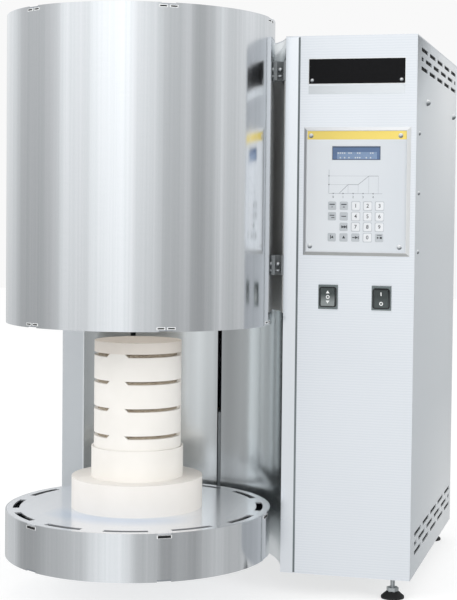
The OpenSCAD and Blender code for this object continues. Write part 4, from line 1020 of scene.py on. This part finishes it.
# %% [markdown]
# The two rockers are dark plastic. The lower half of the table's rocker has painted light in its
# colour, so it changes from a darker upper half to a lighter lower one. The mains rocker is
# darker and nearly even, with only a faint painted change of the same kind.

# %% Rocker plastics


def make_rocker_shade(name, node, above, below):
    """A rocker's plastic with painted light and shade, changing from its upper to its lower half."""
    low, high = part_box(node)
    material, tree, shader = start_material(name, above, 0.34)
    height = spread(tree, split(tree)[2], (low.z + 5 * MM, high.z - 8 * MM))
    tint(tree, shader, height, below, above, (0.0, 1.0))
    roughen(tree, shader, noise(tree, 1400, 2.0), 0.3, 0.4)
    paint([node], material)


make_rocker_shade("table_rocker_painted_light", "table_switch_rocker", "3E4646", "868C8C")
make_rocker_shade("main_rocker_painted_light", "main_switch_rocker", "343B3B", "414949")
print("rockers shaded")

# %% [markdown]
# The covers of the drum and of the table hook into the jackets with bent tabs. Where a tab goes
# through, the jacket is pressed out a little round two small openings. The openings are seen as
# short dark dashes with bright lips. They are drawn as dark fields of painted shade in a slightly
# larger field of painted highlight, both curved like the jacket.

# %% Tab openings
TAB_COUNT = 6
TAB_START = -60
PAIR = [(-10.6, -2.4), (2.4, 10.6)]
SINGLE = [(-8.2, 8.2)]
LIP_SIDE = 1.1
table_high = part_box("table_jacket")[1]
opening_painted_shade = make_print_ink("opening_painted_shade", "16181A", 0.7)


def make_tab_openings(name, z, spans, height, lip, body):
    """Openings on one edge. Their spans along the jacket, their height and the lip are in mm."""
    highlight_lips, shade_fields = bmesh.new(), bmesh.new()
    wide = math.degrees(LIP_SIDE * MM / DRUM_R)
    half = height * MM / 2
    edge = half + lip * MM
    for k in range(TAB_COUNT):
        for span in spans:
            a0, a1 = [TAB_START + k * 360 / TAB_COUNT + math.degrees(s * MM / DRUM_R) for s in span]
            add_arc(highlight_lips, (DRUM_R - 0.2 * MM, DRUM_R + 0.25 * MM), (a0 - wide, a1 + wide),
                    (z - edge, z + edge), 6)
            add_arc(shade_fields, (DRUM_R - 0.1 * MM, DRUM_R + 0.4 * MM), (a0, a1), (z - half, z + half), 6)
    # The lips in white ink are painted highlight, the dark openings painted shade.
    make_piece(name + "_lips", highlight_lips, white_ink, body=body)
    make_piece(name + "_openings", shade_fields, opening_painted_shade, body=body)


make_tab_openings("drum_top", drum_high.z - 4.4 * MM, PAIR, 1.7, 0.7, "root")
make_tab_openings("drum_foot", drum_low.z + 4.2 * MM, PAIR, 1.7, 0.7, "root")
make_tab_openings("table_rim", table_high.z - 4.4 * MM, SINGLE, 3.3, 0.35, "table")
print("tab openings:", TAB_COUNT, "on each edge")

# %% [markdown]
# Each firing dish is filled with small ceramic beads, on which the crowns lie while they are
# fired. They are seen through the notches below the next dish. The bed is a disc with a gently
# uneven top; its material adds the single beads as relief, with painted shade in the gaps
# between them.

# %% Bead beds
BED_R = 52.0 * MM
BED_DROP = 1.3 * MM
BED_RINGS = 8
BED_STEPS = 48


def make_bead_material():
    material, tree, shader = start_material("sintering_beads", "D9D2C6", 0.7)
    cells = add_node(tree, "TexVoronoi", None, {"Vector": object_place(tree), "Scale": 620.0})
    # Painted shade darkens the gaps between the beads.
    tint(tree, shader, cells.outputs["Distance"], "DCCFBD", "8F8270", (0.15, 0.75))
    emboss(tree, shader, cells.outputs["Distance"], 0.7, 0.0006)
    return material


beads = make_bead_material()


def make_bead_bed(number):
    low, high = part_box("saggar_%d" % number)
    centre = (low + high) / 2
    top = high.z - BED_DROP
    bm = bmesh.new()
    crest = bm.verts.new((centre.x, centre.y, top + 0.6 * MM))
    loops = []
    for i in range(1, BED_RINGS + 1):
        r = BED_R * i / BED_RINGS
        loop = []
        for j in range(BED_STEPS):
            a = 2 * math.pi * j / BED_STEPS
            waves = 0.3 * MM * math.sin(5 * a + i * 1.7 + number) * (i < BED_RINGS)
            swell = 0.6 * MM * (1 - (i / BED_RINGS) ** 2) + waves
            loop.append(bm.verts.new((centre.x + r * math.cos(a), centre.y + r * math.sin(a), top + swell)))
        loops.append(loop)
    for j in range(BED_STEPS):
        bm.faces.new((crest, loops[0][j], loops[0][(j + 1) % BED_STEPS]))
    loops.append([bm.verts.new((v.co.x, v.co.y, low.z + 5.3 * MM)) for v in loops[-1]])
    join_loops(bm, loops)
    bm.faces.new(loops[-1][::-1])
    piece = make_piece("bead_bed_%d" % number, bm, beads, body="dish_%d" % number)
    for face in piece.data.polygons:
        face.use_smooth = True


for number in (1, 2, 3, 4):
    make_bead_bed(number)
print("bead beds in 4 dishes")

# %% [markdown]
# Small trims finish the sheet metal: a folded hem where the hollow sheet ends on the left, whose
# pale colour is a painted highlight, a grey backing strip in the joint beside the front panel,
# and a rolled hem along the front panel's lower edge.

# %% Hems and joint
hollow_low, hollow_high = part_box("recess_sheet")
flange_low, flange_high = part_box("left_side_panel")
joint_grey = make_satin_grey("joint_grey", "6F777A", "7C8487", 0.6)
# The hem's pale colour is a painted highlight on the fold.
hem_painted_highlight = make_satin_grey("hem_painted_highlight", "E0E3E6", "E8EBED", 0.4)
JOINT_W = 2.0 * MM
HEM_EDGE = 0.4 * MM


def make_trims():
    hem, joint, edge = bmesh.new(), bmesh.new(), bmesh.new()
    add_block(hem, (flange_high.x - 0.3 * MM, flange_low.y - 1.6 * MM, hollow_low.z + 6 * MM),
              (flange_high.x + 1.6 * MM, flange_low.y + 0.4 * MM, hollow_high.z - 2 * MM), HEM_EDGE)
    add_block(joint, (panel_low.x - JOINT_W - 0.5 * MM, FRONT_Y - 0.15 * MM, panel_low.z + 1 * MM),
              (panel_low.x + 0.2 * MM, FRONT_Y + 1.4 * MM, panel_high.z - 1 * MM))
    add_block(edge, (panel_low.x, FRONT_Y - 0.5 * MM, panel_low.z),
              (panel_high.x, FRONT_Y + 1.0 * MM, panel_low.z + 2.2 * MM), HEM_EDGE)
    make_piece("hollow_hem", hem, hem_painted_highlight)
    make_piece("joint_strip", joint, joint_grey)
    make_piece("panel_hem", edge, front_brushed)


make_trims()
print("hems and joint strip made")

# %% [markdown]
# Where the hollow passes close behind the drum, a strip of heat felt is glued to it. It keeps
# the sheet cool. So little light reaches the gap that the pale felt looks nearly black. The
# drum hangs on brackets in that gap, and the bright head of each bracket's bolt is the only
# thing that catches light there.

# %% Heat felt and bracket bolts
DRUM_GAP = 14.5 * MM
FELT_TURN = (13.5, 62)
BOLT_TURN = 14.5
BOLT_OUT = 7.0 * MM
bracket_low, bracket_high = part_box("drum_brackets")
BOLT_HEIGHTS = (bracket_high.z - 12.0 * MM, bracket_low.z + 14.0 * MM)
felt = make_ceramic("heat_felt", "DEDEDC", "EAEAE8", 500, 0.5)


def make_felt():
    bm = bmesh.new()
    out = DRUM_R + DRUM_GAP
    heights = (drum_low.z + 14 * MM, drum_high.z - 62 * MM)
    add_arc(bm, (out - 1.4 * MM, out - 0.2 * MM), FELT_TURN, heights, 24)
    make_piece("heat_felt", bm, felt)


def make_bracket_bolts():
    bm = bmesh.new()
    r = DRUM_R + BOLT_OUT
    a = math.radians(BOLT_TURN)
    for z in BOLT_HEIGHTS:
        centre = Matrix.Translation((AXIS.x + r * math.cos(a), AXIS.y + r * math.sin(a), z))
        below = centre @ Matrix.Translation((0, 0, -8 * MM))
        bmesh.ops.create_uvsphere(bm, u_segments=20, v_segments=10, radius=3.2 * MM, matrix=centre)
        bmesh.ops.create_cone(bm, cap_ends=True, segments=20, radius1=3.6 * MM, radius2=3.6 * MM,
                              depth=2 * MM, matrix=below)
    # The bolts take the screws' colour with painted light and painted shade.
    make_piece("bracket_bolts", bm, screw_painted_light_and_shade)


make_felt()
make_bracket_bolts()
print("felt and", len(BOLT_HEIGHTS), "bolts fitted")

# %% [markdown]
# Two large domed screws hold the side sheet near its top, and smaller ones stand in a row
# along its front edge. Each head is a ball sunk halfway into the sheet, over one of the model's
# plain screws.

# %% Side screws
SIDE_DOMES = [(89.7, 657.0, 4.6), (360.5, 657.0, 4.6)]
SIDE_HEADS = [(24.0, 612.1, 3.0), (24.0, 534.3, 3.0), (24.0, 457.6, 3.0)]
side_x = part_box("right_side_panel")[1].x


def make_side_screws(name, places, flatness):
    bm = bmesh.new()
    for y, z, size in places:
        place = Matrix.Translation((side_x, FRONT_Y + y * MM, z * MM)) @ Matrix.Diagonal((flatness, 1, 1, 1))
        bmesh.ops.create_uvsphere(bm, u_segments=24, v_segments=12, radius=size * MM, matrix=place)
    # The heads take the screws' colour with painted light and painted shade.
    make_piece(name, bm, screw_painted_light_and_shade)


make_side_screws("side_domes", SIDE_DOMES, 1.1)
make_side_screws("side_heads", SIDE_HEADS, 0.8)
print("side screws:", len(SIDE_DOMES) + len(SIDE_HEADS))

# %% [markdown]
# Behind the slots of both sides a strip of black sheet stands for the shade behind them: painted
# shade. It is why the slots look black, although the housing's inside is pale.

# %% Painted shade behind the vents
VENT_HEIGHTS = [(46 * MM, 94 * MM), (686 * MM, 732 * MM)]
# A black sheet of painted shade behind the vents.
vent_shade = make_plastic("vent_painted_shade", "121314", "1E2021", 0.9, 2400, 0.4)


def make_filter_cloths():
    bm = bmesh.new()
    for node, inward in (("right_side_panel", -1), ("left_side_panel", 1)):
        low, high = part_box(node)
        face = high.x if inward < 0 else low.x
        for z0, z1 in VENT_HEIGHTS:
            x0, x1 = sorted((face + inward * 2.2 * MM, face + inward * 2.8 * MM))
            add_block(bm, (x0, low.y + 24 * MM, z0), (x1, high.y - 6 * MM, z1))
    make_piece("vent_shade_sheets", bm, vent_shade)


make_filter_cloths()
print("filter cloths at heights in mm:", [round(z0 / MM) for z0, z1 in VENT_HEIGHTS])

# %% [markdown]
# Each rocker sits in a dark frame with round corners, inside the grey rim of its housing. The
# frame is painted shade for the recess round the rocker.

# %% Switch wells
SWITCHES = [
    ("table_switch_rocker", "table_switch_housing"),
    ("main_switch_rocker", "main_switch_housing"),
]
WELL_OUT = 1.6 * MM
WELL_IN = 0.2 * MM


def make_switch_wells():
    bm = bmesh.new()
    for rocker, housing in SWITCHES:
        low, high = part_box(rocker)
        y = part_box(housing)[0].y
        outer = round_rect(low.x - WELL_OUT, low.z - WELL_OUT, high.x + WELL_OUT, high.z + WELL_OUT, 3.4 * MM)
        inner = round_rect(low.x + WELL_IN, low.z + WELL_IN, high.x - WELL_IN, high.z - WELL_IN, 2.4 * MM)
        sides = ((outer, 0.3), (outer, -0.1), (inner, -0.1), (inner, 0.3))
        join_loops(bm, [loop_at(bm, line, y + deep * MM) for line, deep in sides], round_again=True)
    # The frames are painted shade in black plastic.
    make_piece("switch_well_shade", bm, black_plastic)


make_switch_wells()
print("switch wells made")

# %% [markdown]
# The world is plain white. Every ray that looks at the background sees the same pale paper,
# and the light that falls on the object from it is soft and even.

# %% World
BACKDROP_LEVEL = 0.947
SKY_LEVEL = 0.78

def bare_tree(owner):
    """The node tree of a new world or material, emptied."""
    owner.use_nodes = True
    owner.node_tree.nodes.clear()
    return owner.node_tree


def make_world():
    world = bpy.data.worlds.new("white_room")
    bpy.context.scene.world = world
    tree = bare_tree(world)
    path = add_node(tree, "LightPath").outputs
    seen = calculate(tree, "ADD", path["Is Camera Ray"], path["Is Glossy Ray"])
    seen = calculate(tree, "ADD", seen, path["Is Transmission Ray"])
    level = spread(tree, seen, (0.0, 1.0), (SKY_LEVEL, BACKDROP_LEVEL))
    backdrop = add_node(tree, "Background", None, {"Color": (1, 1, 1, 1), "Strength": level})
    add_node(tree, "OutputWorld", None, {"Surface": backdrop.outputs["Background"]})


make_world()
print("world level", SKY_LEVEL, "backdrop", BACKDROP_LEVEL)

# %% [markdown]
# Bright metal shows whatever stands round it. A photographer therefore hangs white sheets and
# grey flats round the set and watches their reflections. Here one tall ring stands for them.
# It has an upper row of panels, which the drum mirrors, and a lower row, which the table's rim
# mirrors. Each row is a list of angles and light levels, with soft changes between them. Only
# shiny surfaces see the ring. Angles run from straight in front, positive to the right.

# %% Studio ring
RING_R = 4.0
RING_TOP = 6.0
RING_BOTTOM = -4.0
RING_TINT = (0.97, 0.988, 1.0)
ROW_CHANGE = (-0.6, -0.15)
UPPER_PANELS = [
    (-180, 0.60), (-150, 0.62), (-135, 0.76), (-110, 0.68), (-95, 0.47), (-72, 0.46), (-60, 0.52),
    (-51, 0.64), (-48, 0.84), (-38, 0.82), (-25, 0.79), (-22, 0.93), (-10, 1.00), (4, 1.06),
    (9, 0.98), (14, 0.80), (28, 0.73), (36, 0.55), (48, 0.51), (56, 0.57), (61, 0.42), (69, 0.40),
    (78, 0.50), (84, 0.62), (86, 0.60), (87.5, 0.80), (89, 0.60), (102, 0.57), (118, 0.66), (140, 0.62),
    (180, 0.60),
]
LOWER_PANELS = [
    (-180, 0.60), (-150, 0.62), (-128, 0.73), (-107, 0.70), (-94, 0.43), (-76, 0.42), (-61, 0.54),
    (-44, 0.57), (-33, 0.66), (-28, 0.66), (-22, 0.86), (-8, 1.03), (4, 1.02), (11, 0.85),
    (17, 0.59), (25, 0.62), (31, 0.57), (37, 0.41), (44, 0.40), (51, 0.49), (65, 0.41),
    (74, 0.56), (88, 0.66), (97, 0.57), (112, 0.56), (127, 0.74), (145, 0.62), (160, 0.50), (180, 0.58),
]


def make_studio_ring():
    material = bpy.data.materials.new("studio_panels")
    tree = bare_tree(material)
    x, y, z = split(tree)
    angle = calculate(tree, "ARCTAN2", x, calculate(tree, "MULTIPLY", y, -1.0))
    turn = spread(tree, angle, FULL_TURN)
    lower, upper = [ramp(tree, turn, turn_stops(row, RING_TINT)) for row in (LOWER_PANELS, UPPER_PANELS)]
    colour = blend(tree, spread(tree, z, ROW_CHANGE), lower, upper, colours=True)
    strength = spread(tree, z, (0.0, 1.3), (0.88, 1.2))
    glow = add_node(tree, "Emission", None, {"Color": colour, "Strength": strength})
    add_node(tree, "OutputMaterial", None, {"Surface": glow.outputs["Emission"]})
    bm = bmesh.new()
    bmesh.ops.create_cone(bm, cap_ends=False, segments=96, radius1=RING_R, radius2=RING_R,
                          depth=RING_TOP - RING_BOTTOM)
    bmesh.ops.translate(bm, verts=bm.verts, vec=(AXIS.x, AXIS.y, (RING_TOP + RING_BOTTOM) / 2))
    ring = mesh_object("studio_ring", bm, material)
    ring.visible_camera = False
    ring.visible_diffuse = False
    ring.visible_shadow = False


make_studio_ring()
print("studio ring with", len(UPPER_PANELS), "upper and", len(LOWER_PANELS), "lower angles")

# %% [markdown]
# One broad lamp from the front left gives the round white ceramics their gentle shading, and a
# weaker one from the right keeps the column's side open. A very small one inside the chamber
# stands for the light that the white lining sends down onto the lid and the table.

# %% Lamps


def make_lamp(name, place, aim, size, power):
    data = bpy.data.lights.new(name, "AREA")
    data.shape = "DISK"
    data.size = size
    data.energy = power
    lamp = add_object(name, data)
    lamp.location = place
    lamp.rotation_euler = (Vector(aim) - Vector(place)).to_track_quat("-Z", "Y").to_euler()
    lamp.visible_glossy = False


make_lamp("key_lamp", (-2.4, -3.0, 1.9), (0, 0, 0.35), 2.2, 54)
make_lamp("side_lamp", (3.0, -1.6, 1.2), (0.1, 0, 0.3), 2.0, 37)
make_lamp("chamber_lamp", (AXIS.x, AXIS.y, drum_low.z + 0.2), (AXIS.x, AXIS.y, 0), 0.14, 0.11)

# %% [markdown]
# The floor is a wide pale sheet. The camera sees it lifted to the backdrop's white, so that no
# edge shows where the floor ends, and sees only about half of the object's soft shadow. Shiny
# surfaces don't see it; all other rays meet the plain sheet, which sends its full light back up.

# %% Floor
FLOOR_SIDE = 14.0
FLOOR_LIFT = 0.60
FLOOR_SEEN = 0.50
FLOOR_TRUE = 0.90


def make_floor():
    material = bpy.data.materials.new("pale_floor")
    tree = bare_tree(material)
    seen = add_node(tree, "LightPath").outputs["Is Camera Ray"]
    shade = spread(tree, seen, (0.0, 1.0), (FLOOR_TRUE, FLOOR_SEEN))
    matt = add_node(tree, "BsdfDiffuse", None, {"Color": shade})
    lift = calculate(tree, "MULTIPLY", seen, FLOOR_LIFT)
    glow = add_node(tree, "Emission", None, {"Color": (1, 1, 1, 1), "Strength": lift})
    both = add_node(tree, "AddShader", None, {0: matt.outputs["BSDF"], 1: glow.outputs["Emission"]})
    add_node(tree, "OutputMaterial", None, {"Surface": both.outputs["Shader"]})
    bm = bmesh.new()
    bmesh.ops.create_grid(bm, x_segments=1, y_segments=1, size=FLOOR_SIDE / 2)
    bmesh.ops.translate(bm, verts=bm.verts, vec=(0, 0, -0.2 * MM))
    floor = mesh_object("pale_floor", bm, material)
    floor.visible_glossy = False


make_floor()
print("floor laid")
